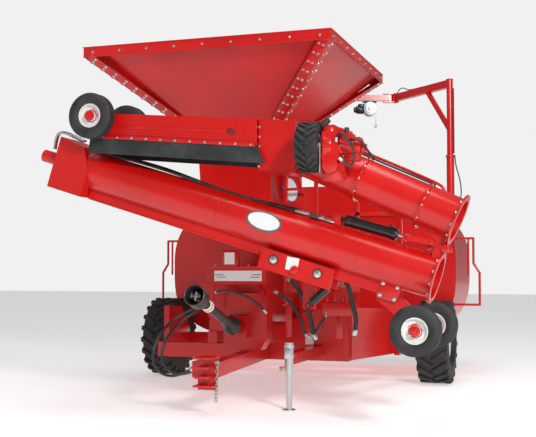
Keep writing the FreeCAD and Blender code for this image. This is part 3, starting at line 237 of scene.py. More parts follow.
# ------------------------------------------------------------------ tractor hoses
# Two rubber hydraulic hoses hang from ports under the sign board, loop past the
# hitch and end in steel couplers parked in a holder on the clevis.
def rubber(name, colour=(0.016, 0.016, 0.017), rough=0.55, grain=320, rise=0.25):
    """Black rubber: fine grain, dusty in patches."""
    m = bpy.data.materials.new(name)
    m.use_nodes = True
    n = m.node_tree.nodes
    link = m.node_tree.links.new
    skin = n["Principled BSDF"]
    where = n.new("ShaderNodeTexCoord")
    dust = n.new("ShaderNodeTexNoise")
    dust.inputs["Scale"].default_value = 7
    dust.inputs["Detail"].default_value = 6
    fine = n.new("ShaderNodeTexNoise")
    fine.inputs["Scale"].default_value = grain
    tone = n.new("ShaderNodeValToRGB")
    tone.color_ramp.elements[0].position = 0.40
    tone.color_ramp.elements[1].position = 0.75
    tone.color_ramp.elements[0].color = (*colour, 1)
    tone.color_ramp.elements[1].color = (*[c * 2.2 + 0.006 for c in colour], 1)
    dull = n.new("ShaderNodeMapRange")
    dull.inputs["To Min"].default_value = rough - 0.12
    dull.inputs["To Max"].default_value = rough + 0.18
    bump = n.new("ShaderNodeBump")
    bump.inputs["Strength"].default_value = rise
    bump.inputs["Distance"].default_value = 0.0015
    link(where.outputs["Object"], dust.inputs["Vector"])
    link(where.outputs["Object"], fine.inputs["Vector"])
    link(dust.outputs["Fac"], tone.inputs["Fac"])
    link(tone.outputs["Color"], skin.inputs["Base Color"])
    link(dust.outputs["Fac"], dull.inputs["Value"])
    link(dull.outputs["Result"], skin.inputs["Roughness"])
    link(fine.outputs["Fac"], bump.inputs["Height"])
    link(bump.outputs["Normal"], skin.inputs["Normal"])
    return m


def zinc(name, colour=(0.62, 0.63, 0.65), rough=0.30, scratch=40):
    """Plated or bare steel: metallic, with faint streaks and dull spots."""
    m = bpy.data.materials.new(name)
    m.use_nodes = True
    n = m.node_tree.nodes
    link = m.node_tree.links.new
    skin = n["Principled BSDF"]
    skin.inputs["Metallic"].default_value = 1.0
    where = n.new("ShaderNodeTexCoord")
    spots = n.new("ShaderNodeTexNoise")
    spots.inputs["Scale"].default_value = scratch
    spots.inputs["Detail"].default_value = 8
    tone = n.new("ShaderNodeValToRGB")
    tone.color_ramp.elements[0].color = (*[c * 0.72 for c in colour], 1)
    tone.color_ramp.elements[1].color = (*[min(1, c * 1.15) for c in colour], 1)
    gloss = n.new("ShaderNodeMapRange")
    gloss.inputs["To Min"].default_value = rough - 0.12
    gloss.inputs["To Max"].default_value = rough + 0.22
    bump = n.new("ShaderNodeBump")
    bump.inputs["Strength"].default_value = 0.08
    bump.inputs["Distance"].default_value = 0.001
    link(where.outputs["Object"], spots.inputs["Vector"])
    link(spots.outputs["Fac"], tone.inputs["Fac"])
    link(tone.outputs["Color"], skin.inputs["Base Color"])
    link(spots.outputs["Fac"], gloss.inputs["Value"])
    link(gloss.outputs["Result"], skin.inputs["Roughness"])
    link(spots.outputs["Fac"], bump.inputs["Height"])
    link(bump.outputs["Normal"], skin.inputs["Normal"])
    return m


def hose_line(name, body, points, radius, paint, resolution=12):
    """A hose as one smooth curve through its route's points."""
    data = bpy.data.curves.new(name, "CURVE")
    data.dimensions = "3D"
    data.bevel_depth = radius
    data.bevel_resolution = 5
    data.resolution_u = resolution
    data.use_fill_caps = True
    line = data.splines.new("NURBS")
    line.points.add(len(points) - 1)
    for knot, p in zip(line.points, points):
        knot.co = (*p, 1)
    line.order_u = 3
    line.use_endpoint_u = True
    piece = bpy.data.objects.new(name, data)
    bpy.context.collection.objects.link(piece)
    data.materials.append(paint)
    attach(piece, body)
    return piece


hose_rubber = rubber("hose_rubber", (0.020, 0.020, 0.020), 0.42, 500, 0.12)
coupler_steel = zinc("coupler_steel")
coat(coupler_steel, "hose_couplers")
hose_outer = hose_line("tractor_hose_outer", "chassis", [
    (-0.360026, -1.565, 0.930), (-0.450026, -1.705, 0.880), (-0.550026, -1.845, 0.790),
    (-0.620026, -1.955, 0.660), (-0.645026, -2.025, 0.510), (-0.590026, -2.075, 0.385),
    (-0.470026, -2.105, 0.325), (-0.340026, -2.115, 0.335), (-0.230026, -2.117, 0.390)], 0.013, hose_rubber)
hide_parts("hose_outer")
hose_inner = hose_line("tractor_hose_inner", "chassis", [
    (-0.295026, -1.565, 0.930), (-0.375026, -1.695, 0.875), (-0.465026, -1.825, 0.785),
    (-0.535026, -1.930, 0.665), (-0.565026, -1.995, 0.530), (-0.535026, -2.030, 0.420),
    (-0.445026, -2.040, 0.345), (-0.330026, -2.045, 0.335), (-0.225026, -2.047, 0.375)], 0.013, hose_rubber)
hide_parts("hose_inner")


# ------------------------------------------------------------------ main wheels
# Skid-steer tyres with bent lugs on white pressed rims. Each rim is held to a
# red hub by eight studs, and a greased cap closes the hub.
def spun(outline, centre, axis, steps=72):
    """Turn a closed (radius, offset) outline about an axle."""
    a = Vector(axis).normalized()
    ref = a.orthogonal().normalized()
    bpy.ops.mesh.primitive_circle_add(vertices=len(outline), radius=1.0)
    piece = bpy.context.object
    for v, (r, t) in zip(piece.data.vertices, outline):
        v.co = Vector(centre) + ref * r + a * t
    bpy.ops.object.mode_set(mode="EDIT")
    bpy.ops.mesh.select_all(action="SELECT")
    bpy.ops.mesh.spin(steps=steps, angle=2 * math.pi, center=centre, axis=a)
    bpy.ops.mesh.select_all(action="SELECT")
    bpy.ops.mesh.remove_doubles(threshold=0.00002)
    bpy.ops.mesh.normals_make_consistent(inside=False)
    bpy.ops.object.mode_set(mode="OBJECT")
    return piece


def round_copies(piece, centre, axis, count, start=0.0):
    """Copies of one shape spaced evenly round an axle."""
    made = []
    for i in range(count):
        turn = Matrix.Rotation(start + 2 * math.pi * i / count, 4, Vector(axis))
        copy = piece if i == count - 1 else piece.copy()
        if i < count - 1:
            copy.data = piece.data.copy()
            bpy.context.collection.objects.link(copy)
        copy.data.transform(Matrix.Translation(Vector(centre)) @ turn @ Matrix.Translation(-Vector(centre)))
        made.append(copy)
    return made


white = enamel("wheel_white", (0.80, 0.80, 0.78), 0.32, 0.06)
tyre_rubber = rubber("tyre_rubber", (0.014, 0.014, 0.015), 0.62, 120, 0.45)
bright = zinc("plated_bolts", (0.70, 0.70, 0.70), 0.25)
coat(white, "main_wheel_left", "main_wheel_right")
for side, x, out in (("left", -1.834026, -1), ("right", 1.453974, 1)):
    hub = (x, 1.035, 0.465)
    carcass = spun([(0.2225, -0.126), (0.262, -0.168), (0.335, -0.175), (0.400, -0.170), (0.432, -0.152),
                    (0.441, -0.100),
                    (0.443, 0.0), (0.441, 0.100), (0.432, 0.152), (0.400, 0.170), (0.335, 0.175), (0.262,
                            0.168),
                    (0.2225, 0.126), (0.2225, 0.0)], hub, (1, 0, 0))
    ribs = [spun([(0.268, s * 0.1700), (0.274, s * 0.1745), (0.280, s * 0.1715), (0.272, s * 0.160)], hub,
                 (1, 0, 0), 72)
            for s in (-1, 1)]
    treads = []
    for s in (-1, 1):
        lug = slab((x + s * 0.082, 1.035, 0.465 + 0.447), (0.185, 0.052, 0.030),
                   (math.cos(0.62), s * math.sin(0.62), 0),
                   (0, 0, 1), 0.006)
        shoulder = slab((x + s * 0.157, 1.035 + 0.052, 0.465 + 0.418), (0.030, 0.050, 0.072), (1, 0, 0),
                        (s * 0.25, -0.12, 1), 0.006)
        treads += round_copies(gather([lug, shoulder]), hub, (1, 0, 0), 20, 0.0 if s > 0 else math.pi / 20)
    tyre = settle(gather([carcass] + ribs + treads), "main_tyre_" + side + "_tread", side + "_wheel",
                  tyre_rubber, 30)
    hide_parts("main_tyre_" + side)
    face = x + out * 0.045
    cap = gather([barrel((face, 1.035, 0.465), (face + out * 0.050, 1.035, 0.465), 0.074, 0.066, 0.006),
                  barrel((face + out * 0.05, 1.035, 0.465), (face + out * 0.085, 1.035, 0.465), 0.042,
                         0.034, 0.006)])
    settle(cap, "main_hub_cap_" + side, side + "_wheel", red)
    studs = [(x + out * 0.028, 1.035 + 0.12 * math.cos(math.pi * k / 4),
              0.465 + 0.12 * math.sin(math.pi * k / 4))
             for k in range(8)]
    bolt_set("main_wheel_nuts_" + side, side + "_wheel", bright, studs, (out, 0, 0), 0.028, 0.018)


# ------------------------------------------------------------------ small wheels
# Ribbed implement tyres on white rims with red hubs carry the ends of the folding
# auger. A lugged tyre, turned by a small gearbox, drives the intake end about.
coat(white, "support_wheels", "intake_wheels", "drive_wheel")
for pair, body, x, z in (("support", "support_pair", 1.881559, 0.808050),
                         ("intake", "intake_pair", -0.884026, 2.579)):
    y_low, y_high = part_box(pair + "_tyres")[0][1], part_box(pair + "_tyres")[1][1]
    rubbers = []
    for y in (y_low + 0.070, y_high - 0.070):
        ring = [(0.104, -0.050), (0.128, -0.066), (0.155, -0.070), (0.182, -0.060)]
        for k in range(5):
            t = -0.052 + k * 0.0228
            ring += [(0.1955, t), (0.1955, t + 0.0140), (0.1890, t + 0.0155), (0.1890, t + 0.0215)]
        ring = [p for p in ring if p[1] < 0.052] + [(0.182, 0.060), (0.155, 0.070), (0.128, 0.066),
                (0.104, 0.050)]
        rubbers.append(spun(ring, (x, y, z), (0, 1, 0), 56))
    tyres = settle(gather(rubbers), pair + "_tyres_ribbed", body, tyre_rubber, 30)
    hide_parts(pair + "_tyres")
    caps = []
    nuts = []
    for y, out in ((y_low + 0.070, -1), (y_high - 0.070, 1)):
        caps.append(barrel((x, y + out * 0.040, z), (x, y + out * 0.066, z), 0.044, 0.040, 0.004))
        caps.append(barrel((x, y + out * 0.066, z), (x, y + out * 0.084, z), 0.024, 0.020, 0.003))
        caps.append(spun([(0.046, out * 0.006), (0.062, out * 0.006), (0.060, out * 0.014),
                          (0.046, out * 0.020)],
                         (x, y, z), (0, 1, 0), 40))
        nuts.append([(x + 0.054 * math.cos(1.2566 * k), y + out * 0.016,
                      z + 0.054 * math.sin(1.2566 * k)) for k in range(5)])
    settle(gather(caps), pair + "_hubs", body, red)
    bolt_set(pair + "_nuts_front", body, bright, nuts[0], (0, -1, 0), 0.014, 0.010)
    bolt_set(pair + "_nuts_rear", body, bright, nuts[1], (0, 1, 0), 0.014, 0.010)

drive = (1.075974, -2.815, 2.226)
carcass = spun([(0.102, -0.068), (0.128, -0.090), (0.155, -0.094), (0.176, -0.088), (0.184, -0.060),
                (0.185, 0.0),
                (0.184, 0.060), (0.176, 0.088), (0.155, 0.094), (0.128, 0.090), (0.102,
                        0.068)], drive, (1, 0, 0), 56)
chevrons = []
for s in (-1, 1):
    bar_lug = slab((drive[0] + s * 0.044, drive[1], drive[2] + 0.188), (0.098, 0.022, 0.022),
                   (math.cos(0.75), s * math.sin(0.75), 0), (0, 0, 1), 0.003)
    chevrons += round_copies(bar_lug, drive, (1, 0, 0), 18, 0.0 if s > 0 else math.pi / 18)
drive_tread = settle(gather([carcass] + chevrons), "drive_tyre_lugged", "drive_pair", tyre_rubber, 30)
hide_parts("drive_tyre")
bolt_set("drive_wheel_nuts", "drive_pair", bright,
         [(drive[0] - 0.012, drive[1] + 0.05 * math.cos(1.2566 * k),
           drive[2] + 0.05 * math.sin(1.2566 * k)) for k in range(5)],
         (-1, 0, 0), 0.016, 0.010)


# ------------------------------------------------------------------ main hopper
# Folded sheet walls bolted together along their corners, with a flanged rim. The
# chute below it carries the grain down into the packing auger's housing.
deep_red = enamel("hopper_enamel", (0.60, 0.006, 0.005), 0.30, 0.16)
coat(deep_red, "main_hopper")
coat(red, "hopper_chute", "auger_housing", "sign_panel", "ladder")
(hx0, hy0, hz0), (hx1, hy1, hz1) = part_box("main_hopper")
rim_pieces = []
for z, wide, tall in ((hz1 - 0.006, 0.022, 0.010), (hz1 - 0.097, 0.012, 0.008)):
    rim_pieces.append(slab(((hx0 + hx1) / 2, hy0 + 0.004, z), (hx1 - hx0 + 0.012, wide, tall), (1, 0, 0)))
    rim_pieces.append(slab(((hx0 + hx1) / 2, hy1 - 0.004, z), (hx1 - hx0 + 0.012, wide, tall), (1, 0, 0)))
    rim_pieces.append(slab((hx0 + 0.004, (hy0 + hy1) / 2, z), (hy1 - hy0, wide, tall), (0, 1, 0)))
    rim_pieces.append(slab((hx1 - 0.004, (hy0 + hy1) / 2, z), (hy1 - hy0, wide, tall), (0, 1, 0)))
settle(gather(rim_pieces), "hopper_rim_fold", "chassis", red)
band_bolts = [(hx0 + 0.10 + k * (hx1 - hx0 - 0.20) / 8, hy0 - 0.001, hz1 - 0.055) for k in range(9)]
bolt_set("hopper_band_bolts_front", "chassis", bright, band_bolts, (0, -1, 0), 0.016, 0.009)
band_bolts = [(hx1 + 0.001, hy0 + 0.10 + k * (hy1 - hy0 - 0.20) / 8, hz1 - 0.055) for k in range(9)]
bolt_set("hopper_band_bolts_right", "chassis", bright, band_bolts, (1, 0, 0), 0.016, 0.009)
band_bolts = [(hx0 - 0.001, hy0 + 0.10 + k * (hy1 - hy0 - 0.20) / 8, hz1 - 0.055) for k in range(9)]
bolt_set("hopper_band_bolts_left", "chassis", bright, band_bolts, (-1, 0, 0), 0.016, 0.009)


def wall_seam(name, top_a, low_a, top_b, count, body="chassis"):
    """A folded strip with two rows of bolts down the edge of a sloping wall, from top_a to low_a."""
    a, b, other = Vector(top_a), Vector(low_a), Vector(top_b)
    edge = (b - a).normalized()
    inward = (other - a).normalized()
    inward = (inward - edge * inward.dot(edge)).normalized()
    out = edge.cross(inward).normalized()
    if out.z > 0:
        out = -out
    strip = slab((a + b) / 2 + inward * 0.048 + out * 0.0035, ((b - a).length * 0.97, 0.090, 0.005), edge,
                 out, 0.0015)
    settle(strip, name + "_strip", body, deep_red)
    rows = []
    for k in range(count):
        along = a + (b - a) * (0.06 + 0.88 * k / (count - 1))
        rows += [along + inward * 0.028 + out * 0.006, along + inward * 0.068 + out * 0.006]
    bolt_set(name + "_bolts", body, bright, rows, out, 0.018, 0.010)


top = {"fl": (hx0 + 0.012, hy0 + 0.012, hz1 - 0.102), "fr": (hx1 - 0.012, hy0 + 0.012, hz1 - 0.102),
       "bl": (hx0 + 0.012, hy1 - 0.012, hz1 - 0.102), "br": (hx1 - 0.012, hy1 - 0.012, hz1 - 0.102)}
throat = {"fl": (-0.590026, -1.105, 2.60), "fr": (0.209974, -1.105, 2.60),
          "bl": (-0.590026, -0.465, 2.60), "br": (0.209974, -0.465, 2.60)}
for corner, beside in (("fl", "fr"), ("fr", "fl"), ("fr", "br"), ("br", "fr"), ("bl", "br"), ("br", "bl"),
                       ("fl", "bl"), ("bl", "fl")):
    wall_seam("hopper_seam_" + corner + "_" + beside, Vector(top[corner]), throat[corner], top[beside], 11)

# The hopper's walls meet the chute at a bolted collar.
(cx0, cy0, cz0), (cx1, cy1, cz1) = (-0.590026, -1.105, 2.60), (0.209974, -0.465, 2.60)
collar = [slab(((cx0 + cx1) / 2, cy0 - 0.004, 2.585), (cx1 - cx0 + 0.02, 0.012, 0.060), (1, 0, 0)),
          slab(((cx0 + cx1) / 2, cy1 + 0.004, 2.585), (cx1 - cx0 + 0.02, 0.012, 0.060), (1, 0, 0)),
          slab((cx0 - 0.004, (cy0 + cy1) / 2, 2.585), (cy1 - cy0, 0.012, 0.060), (0, 1, 0)),
          slab((cx1 + 0.004, (cy0 + cy1) / 2, 2.585), (cy1 - cy0, 0.012, 0.060), (0, 1, 0))]
settle(gather(collar), "chute_collar", "chassis", red)
bolt_set("chute_collar_bolts", "chassis", bright,
         [(cx0 + 0.06 + 0.113 * k, cy0 - 0.011, 2.585) for k in range(7)],
         (0, -1, 0), 0.016, 0.009)


# ------------------------------------------------------------------ discharge auger
# The lower of the two folded auger tubes, rolled from sheet with one long seam. A
# pressed channel runs under it and its ends are closed by bolted flanges.
def along_discharge(s, n, y):
    """A point of the lower auger: s along it from the fold pin, n above the pin's line."""
    return Vector((2.070974 + 0.95476 * s + 0.29737 * n, -2.405 + y, 1.433 - 0.29737 * s + 0.95476 * n))


def along_intake(u, w, y):
    """A point of the upper auger: u along it from the fold pin, w above the pin's line."""
    return Vector((2.070974 - 0.91284 * u + 0.40832 * w, -2.405 + y, 1.433 + 0.40832 * u + 0.91284 * w))


low_way = Vector((0.95476, 0, -0.29737))
low_up = Vector((0.29737, 0, 0.95476))
high_way = Vector((-0.91284, 0, 0.40832))
high_up = Vector((0.40832, 0, 0.91284))
coat(red, "discharge_auger_tube", "discharge_flange", "discharge_spout", "auger_rail", "tilt_bracket",
     "support_leg")
bands = []
for s in (-3.16, -1.90, -0.64):
    bands.append(spun([(0.1725, -0.004), (0.1765, -0.004), (0.1765, 0.004), (0.1725, 0.004)],
                      along_discharge(s, -0.243, 0), low_way, 72))
seam = slab(along_discharge(-1.55, -0.243 + 0.1715, -0.035), (2.90, 0.006, 0.005), low_way, low_up, 0.001)
settle(gather(bands + [seam]), "discharge_tube_seams", "discharge_section", red)
flange_places = []
for k in range(12):
    w = 2 * math.pi * (k + 0.5) / 12
    flange_places.append(along_discharge(-0.019, -0.243 + 0.193 * math.sin(w), 0.193 * math.cos(w)))
bolt_set("discharge_flange_bolts", "discharge_section", bright, flange_places, -low_way, 0.020, 0.012)

# The channel's lips, and the two cheek plates of the tilt carriage with their bolts.
lips = [slab(along_discharge(-1.705, -0.4860, sy * 0.052), (2.86, 0.006, 0.012), low_way, low_up, 0.002)
        for sy in (-1, 1)]
settle(gather(lips), "rail_lips", "discharge_section", red)
bolt_set("carriage_bolts_front", "discharge_section", bright,
         [along_discharge(-1.31, -0.492, -0.121), along_discharge(-0.92, -0.492, -0.121)], (0, -1,
                 0), 0.042, 0.020)
# A flat dark red-black ring round each carriage bolt is painted shadow, not a washer.
ring_shadow_paint = rubber("carriage_shadow_paint", (0.03, 0.01, 0.01), 0.5)
shadow_ring_shapes = [spun([(0.026, 0.0), (0.040, 0.0), (0.038, 0.006), (0.026, 0.006)],
                along_discharge(s, -0.492, -0.126), (0, 1, 0), 32)
           for s in (-1.31, -0.92)]
settle(gather(shadow_ring_shapes), "carriage_bolt_shadow_rings", "discharge_section", ring_shadow_paint)
clamp = [slab(along_discharge(-0.335, -0.452, -0.060), (0.175, 0.010, 0.150), low_way, low_up, 0.003),
         slab(along_discharge(-0.335, -0.372, -0.075), (0.175, 0.040, 0.012), low_way, low_up, 0.003)]
settle(gather(clamp), "support_clamp_plate", "discharge_section", red)
bolt_set("support_clamp_bolts", "discharge_section", bright,
         [along_discharge(-0.335 + a * 0.060, -0.452 + b * 0.048, -0.066) for a in (-1, 1) for b in (-1, 1)],
         (0, -1, 0), 0.022, 0.014)


# ------------------------------------------------------------------ blank plates
# Vinyl labels, an oval badge on the tube and one on the chute, and the sign's face.
# All are left blank, with only a border.
def plain(name, colour, rough=0.35):
    """Printed vinyl or plastic: flat tone with slight soiling."""
    return enamel(name, colour, rough, 0.05)


label_white = plain("label_white", (0.82, 0.82, 0.82))
label_grey = plain("label_border", (0.10, 0.11, 0.12))


def wrapped_oval(name, body, s_mid, rise, half_long, half_high, radius, paint):
    """An oval plate rolled to lie on the lower tube, rise radians above its front."""
    bpy.ops.mesh.primitive_circle_add(vertices=64, radius=1.0, fill_type="NGON")
    piece = bpy.context.object
    bpy.ops.object.mode_set(mode="EDIT")
    bpy.ops.mesh.select_all(action="SELECT")
    for _ in range(9):
        bpy.ops.mesh.inset(thickness=0.1, depth=0)
    bpy.ops.mesh.select_all(action="SELECT")
    bpy.ops.mesh.normals_make_consistent(inside=False)
    bpy.ops.object.mode_set(mode="OBJECT")
    for v in piece.data.vertices:
        a = v.co.x * half_long
        w = rise + v.co.y * half_high / radius
        v.co = along_discharge(s_mid + a, -0.243,
                               0) + Vector((0, -1, 0)) * radius * math.cos(w) + low_up * radius * math.sin(w)
    thick = piece.modifiers.new("vinyl", "SOLIDIFY")
    thick.thickness = 0.0012
    bpy.ops.object.modifier_apply(modifier=thick.name)
    return settle(piece, name, body, paint)


wrapped_oval("tube_badge_border", "discharge_section", -1.469, 0.185, 0.158, 0.088, 0.1742, label_grey)
wrapped_oval("tube_badge_field", "discharge_section", -1.469, 0.185, 0.140, 0.070, 0.1756, label_white)


def flat_label(name, body, centre, size, along, out, paint):
    """A flat label: size along and across, facing out."""
    o = Vector(out).normalized()
    a = Vector(along)
    a = (a - o * a.dot(o)).normalized()
    tag = slab(Vector(centre), (size[0], size[1], 0.0016), a, o, 0.0004)
    return settle(tag, name, body, paint, 0)


def flat_oval(name, body, centre, along, out, half_long, half_high, paint, thick=0.002):
    """A flat oval plate facing out."""
    o = Vector(out).normalized()
    a = Vector(along)
    a = (a - o * a.dot(o)).normalized()
    bpy.ops.mesh.primitive_cylinder_add(vertices=64, radius=1.0, depth=thick)
    piece = bpy.context.object
    turn = Matrix((a, o.cross(a), o)).transposed().to_4x4()
    piece.matrix_world = Matrix.Translation(Vector(centre)) @ turn @ Matrix.Diagonal((half_long,
            half_high, 1, 1))
    bpy.ops.object.transform_apply(location=True, rotation=True, scale=True)
    soften(piece, 0.0006, 1)
    return settle(piece, name, body, paint)


flat_label("carriage_label", "discharge_section", along_discharge(-1.1465, -0.478, -0.1212), (0.105, 0.105),
           low_way + low_up * 0.12, (0, -1, 0), label_white)
flat_label("sign_face", "chassis", (0.005, -1.5462, 1.214), (0.470, 0.096), (1, 0, 0), (0, -1, 0),
           label_white)
bars = [slab((0.005 + s * (0.185 - 0.018 * k), -1.5475, 1.225 - 0.022 * k), (0.090, 0.007, 0.0012),
             (1, 0, 0), (0, -1, 0), 0.0003)
        for s in (-1, 1) for k in (0, 1)]
settle(gather(bars), "sign_bars", "chassis", label_grey, 0)
sign_box = [slab((-0.080, -1.500, 1.375), (0.150, 0.085, 0.160), (1, 0, 0), (0, 0, 1), 0.008),
            slab((0.010, -1.512, 1.298), (0.560, 0.080, 0.014), (1, 0, 0), (0, 0, 1), 0.003)]
settle(gather(sign_box), "sign_board_cap", "chassis", red)
bolt_set("sign_bolts", "chassis", bright, [(x, -1.512, 1.305) for x in (-0.23, -0.09, 0.10, 0.25)],
         (0, 0, 1), 0.018, 0.014)
flat_label("sign_cap_label", "chassis", (-0.080, -1.5435, 1.378), (0.100, 0.110), (1, 0, 0), (0, -1, 0),
           label_white)
flat_label("gusset_label", "chassis", (0.440, -0.6415, 0.580), (0.085, 0.110), (1, 0, 0), (0, -1, 0),
           label_white)
flat_oval("chute_badge_border", "chassis", (0.385, -1.1065, 2.045), (0.25, 0, -1), (0, -1, 0.03), 0.130,
          0.082, label_grey)
flat_oval("chute_badge_field", "chassis", (0.385, -1.1080, 2.045), (0.25, 0, -1), (0, -1, 0.03), 0.114,
          0.066, label_white)


# ------------------------------------------------------------------ chute plate
# A sloping stiffening plate runs from the right of the hopper's throat down beside
# the chute, and carries the small badge.
brace = [slab((0.385, -1.0985, 2.010), (0.96, 0.250, 0.012), (0.25, 0, -1), (0, -1, 0.03), 0.003),
         slab((0.265, -1.0600, 2.010), (0.96, 0.010, 0.080), (0.25, 0, -1), (0, -1, 0.03), 0.002)]
settle(gather(brace), "chute_brace_plate", "chassis", red)


# ------------------------------------------------------------------ PTO shaft
# A telescoping drive shaft inside black plastic guards: a ribbed bell at the
# gearbox, two tubes, a wide bell over the tractor's yoke, and a bearing ring.
guard = rubber("guard_plastic", (0.017, 0.018, 0.018), 0.34, 60, 0.06)
shaft_start = Vector((-0.044026, -1.525, 0.735))
shaft_way = Vector((-0.01438, -0.94504, 0.32666))


def shaft_ring(outline, steps=48):
    return spun([(r, t) for r, t in outline], shaft_start, shaft_way, steps)


bells = [shaft_ring([(0.020, 0.030), (0.086, 0.030), (0.087, 0.060), (0.080, 0.075), (0.083, 0.085),
                     (0.074, 0.100),
                     (0.077, 0.110), (0.066, 0.125), (0.068, 0.135), (0.056, 0.150), (0.046,
                             0.178), (0.042, 0.190),
                     (0.042, 0.610), (0.045, 0.618), (0.045, 0.632), (0.036, 0.634), (0.036,
                             0.612), (0.020, 0.600)]),
         shaft_ring([(0.026, 0.605), (0.0335, 0.605), (0.0335, 0.765), (0.048, 0.775), (0.052, 0.790),
                     (0.060, 0.792),
                     (0.064, 0.812), (0.072, 0.815), (0.077, 0.838), (0.086, 0.842), (0.094,
                             0.868), (0.095, 0.984),
                     (0.090, 0.987), (0.085, 0.984), (0.084, 0.880), (0.030, 0.800)])]
settle(gather(bells), "pto_guard", "pto_drive", guard, 40)
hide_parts("pto_shaft")
ring_paint = enamel("bearing_ring", (0.78, 0.74, 0.60), 0.4, 0.1)
settle(gather([shaft_ring([(0.040, 0.640), (0.052, 0.640), (0.054, 0.650), (0.052, 0.664), (0.040, 0.664)]),
               shaft_ring([(0.040, 0.684), (0.050, 0.684), (0.052, 0.692), (0.050, 0.704), (0.040, 0.704)])]),
       "pto_bearing_rings", "pto_drive", ring_paint, 40)
red_plastic = enamel("red_plastic", (0.50, 0.010, 0.008), 0.5, 0.1)
settle(gather([shaft_ring([(0.036, 0.664), (0.047, 0.664), (0.047, 0.684), (0.036, 0.684)])]),
       "pto_lock_ring", "pto_drive", red_plastic, 40)
yoke_steel = zinc("yoke_steel", (0.30, 0.29, 0.28), 0.42, 30)
side = shaft_way.cross(Vector((1, 0, 0))).normalized()
fork = [barrel(shaft_start + shaft_way * 0.800, shaft_start + shaft_way * 0.905, 0.030, 0.036),
        slab(shaft_start + shaft_way * 0.930 + Vector((0.030, 0, 0)), (0.085, 0.012, 0.045), shaft_way,
             side, 0.004),
        slab(shaft_start + shaft_way * 0.930 - Vector((0.030, 0, 0)), (0.085, 0.012, 0.045), shaft_way,
             side, 0.004),
        barrel(shaft_start + shaft_way * 0.945 - Vector((0.046, 0, 0)),
               shaft_start + shaft_way * 0.945 + Vector((0.046, 0, 0)), 0.012),
        barrel(shaft_start + shaft_way * 0.945 - side * 0.040,
               shaft_start + shaft_way * 0.945 + side * 0.040, 0.012)]
settle(gather(fork), "pto_front_yoke", "pto_drive", yoke_steel)
coat(red, "gearbox_shield", "pto_gearbox")


# ------------------------------------------------------------------ jack
# A plated drop-leg jack: a square foot, an inner tube held by a spring pin, and
# an outer tube with a clamp on the jack arm.
jack_steel = zinc("jack_steel", (0.66, 0.67, 0.68), 0.30, 18)
coat(jack_steel, "jack_sleeve", "jack_leg")
jx, jy = 0.520974, -1.599
collars = [spun([(0.040, z), (0.047, z + 0.003), (0.047, z + 0.030), (0.040, z + 0.033)], (jx, jy, 0),
                (0, 0, 1), 40)
           for z in (0.470, 0.560)]
collars.append(slab((jx, jy - 0.045, 0.515), (0.060, 0.014, 0.100), (1, 0, 0), (0, 0, 1), 0.004))
settle(gather(collars), "jack_collars", "chassis", jack_steel)
brass = zinc("pin_yellow_zinc", (0.50, 0.42, 0.22), 0.40, 60)
settle(gather([barrel((jx - 0.075, jy - 0.020, 0.372), (jx - 0.030, jy - 0.004, 0.396), 0.009),
               spun([(0.010, -0.010), (0.020, -0.010), (0.020, 0.010), (0.010, 0.010)],
                    (jx - 0.072, jy - 0.019, 0.373),
                    (0.075, 0.016, 0.024), 24)]), "jack_spring_pin", "jack_inner", brass)


# ------------------------------------------------------------------ intake hopper
# The upper auger's folded sheet hopper, stowed mouth down: pressed side ribs, a
# flanged edge, a rubber flap along each side, and a bolted boot round the tube.
coat(red, "intake_hopper", "intake_boot", "intake_auger_tube", "intake_flange", "drive_gearbox")
flap = rubber("flap_rubber", (0.018, 0.019, 0.020), 0.5, 90, 0.2)
coat(flap, "hopper_skirt")
face_y = -2.6450
slope = Vector((1.400, 0, -0.115)).normalized()
ribs = []
for x, z, long, tall in ((-0.200, 2.455, 1.00, 0.020), (-0.200, 2.395, 1.02, 0.012)):
    ribs.append(slab((x, face_y - 0.003, z), (long, 0.008, tall), slope, (0, 0, 1), 0.002))
ribs.append(slab((0.405, face_y - 0.004, 2.400), (0.016, 0.010, 0.225), slope, (0, 0, 1), 0.002))
ribs.append(slab((0.470, face_y - 0.004, 2.390), (0.010, 0.010, 0.225), slope, (0, 0, 1), 0.002))
flap_line = Vector((1.525, 0, -0.139)).normalized()
for s, y in ((-1, -2.6575), (1, -2.1525)):
    ribs.append(slab((-0.150, y, 2.352), (1.42, 0.008, 0.030), flap_line, (0, 0, 1), 0.002))
settle(gather(ribs), "intake_hopper_ribs", "intake_section", red)
bolt_set("flap_bolts", "intake_section", bright,
         [Vector((-0.150, -2.6620, 2.352)) + flap_line * (0.135 * k) for k in range(-5, 6)], (0, -1,
                 0), 0.014, 0.008)
bolt_set("boot_bolts", "intake_section", bright,
         [(0.572 + 0.004, -2.6085, z) for z in (2.12, 2.20, 2.28, 2.36, 2.44)], (0, -1, 0), 0.016, 0.008)
shadow_red = enamel("inner_shadow_enamel", (0.20, 0.003, 0.003), 0.5, 0.15)
notch = [slab((0.345, face_y - 0.0012, 2.405), (0.075, 0.004, 0.050), (1, 0, -0.5), (0, 0, 1), 0.001)]
settle(gather(notch), "intake_hopper_notch", "intake_section", shadow_red)

# The clamp rings of the upper tube, each a bolted pair of flanges.
rings = []
for u in (0.846, 0.300):
    rings.append(spun([(0.1725, -0.006), (0.192, -0.006), (0.192, 0.006), (0.1725, 0.006)],
                      along_intake(u, 0.243, 0), high_way, 72))
    rings.append(spun([(0.1725, 0.010), (0.188, 0.010), (0.188, 0.018), (0.1725, 0.018)],
                      along_intake(u, 0.243, 0), high_way, 72))
settle(gather(rings), "intake_tube_rings", "intake_section", red)
for k, u in enumerate((0.846, 0.300)):
    spots = [along_intake(u - 0.006, 0.243 + 0.182 * math.sin(w), 0.182 * math.cos(w))
             for w in [math.pi * 2 * i / 10 for i in range(10)]]
    bolt_set("intake_ring_bolts_" + str(k), "intake_section", bright, spots, -high_way, 0.016, 0.010)
spots = [along_intake(0.019, 0.243 + 0.193 * math.sin(w), 0.193 * math.cos(w))
         for w in [math.pi * (i + 0.5) / 6 for i in range(12)]]
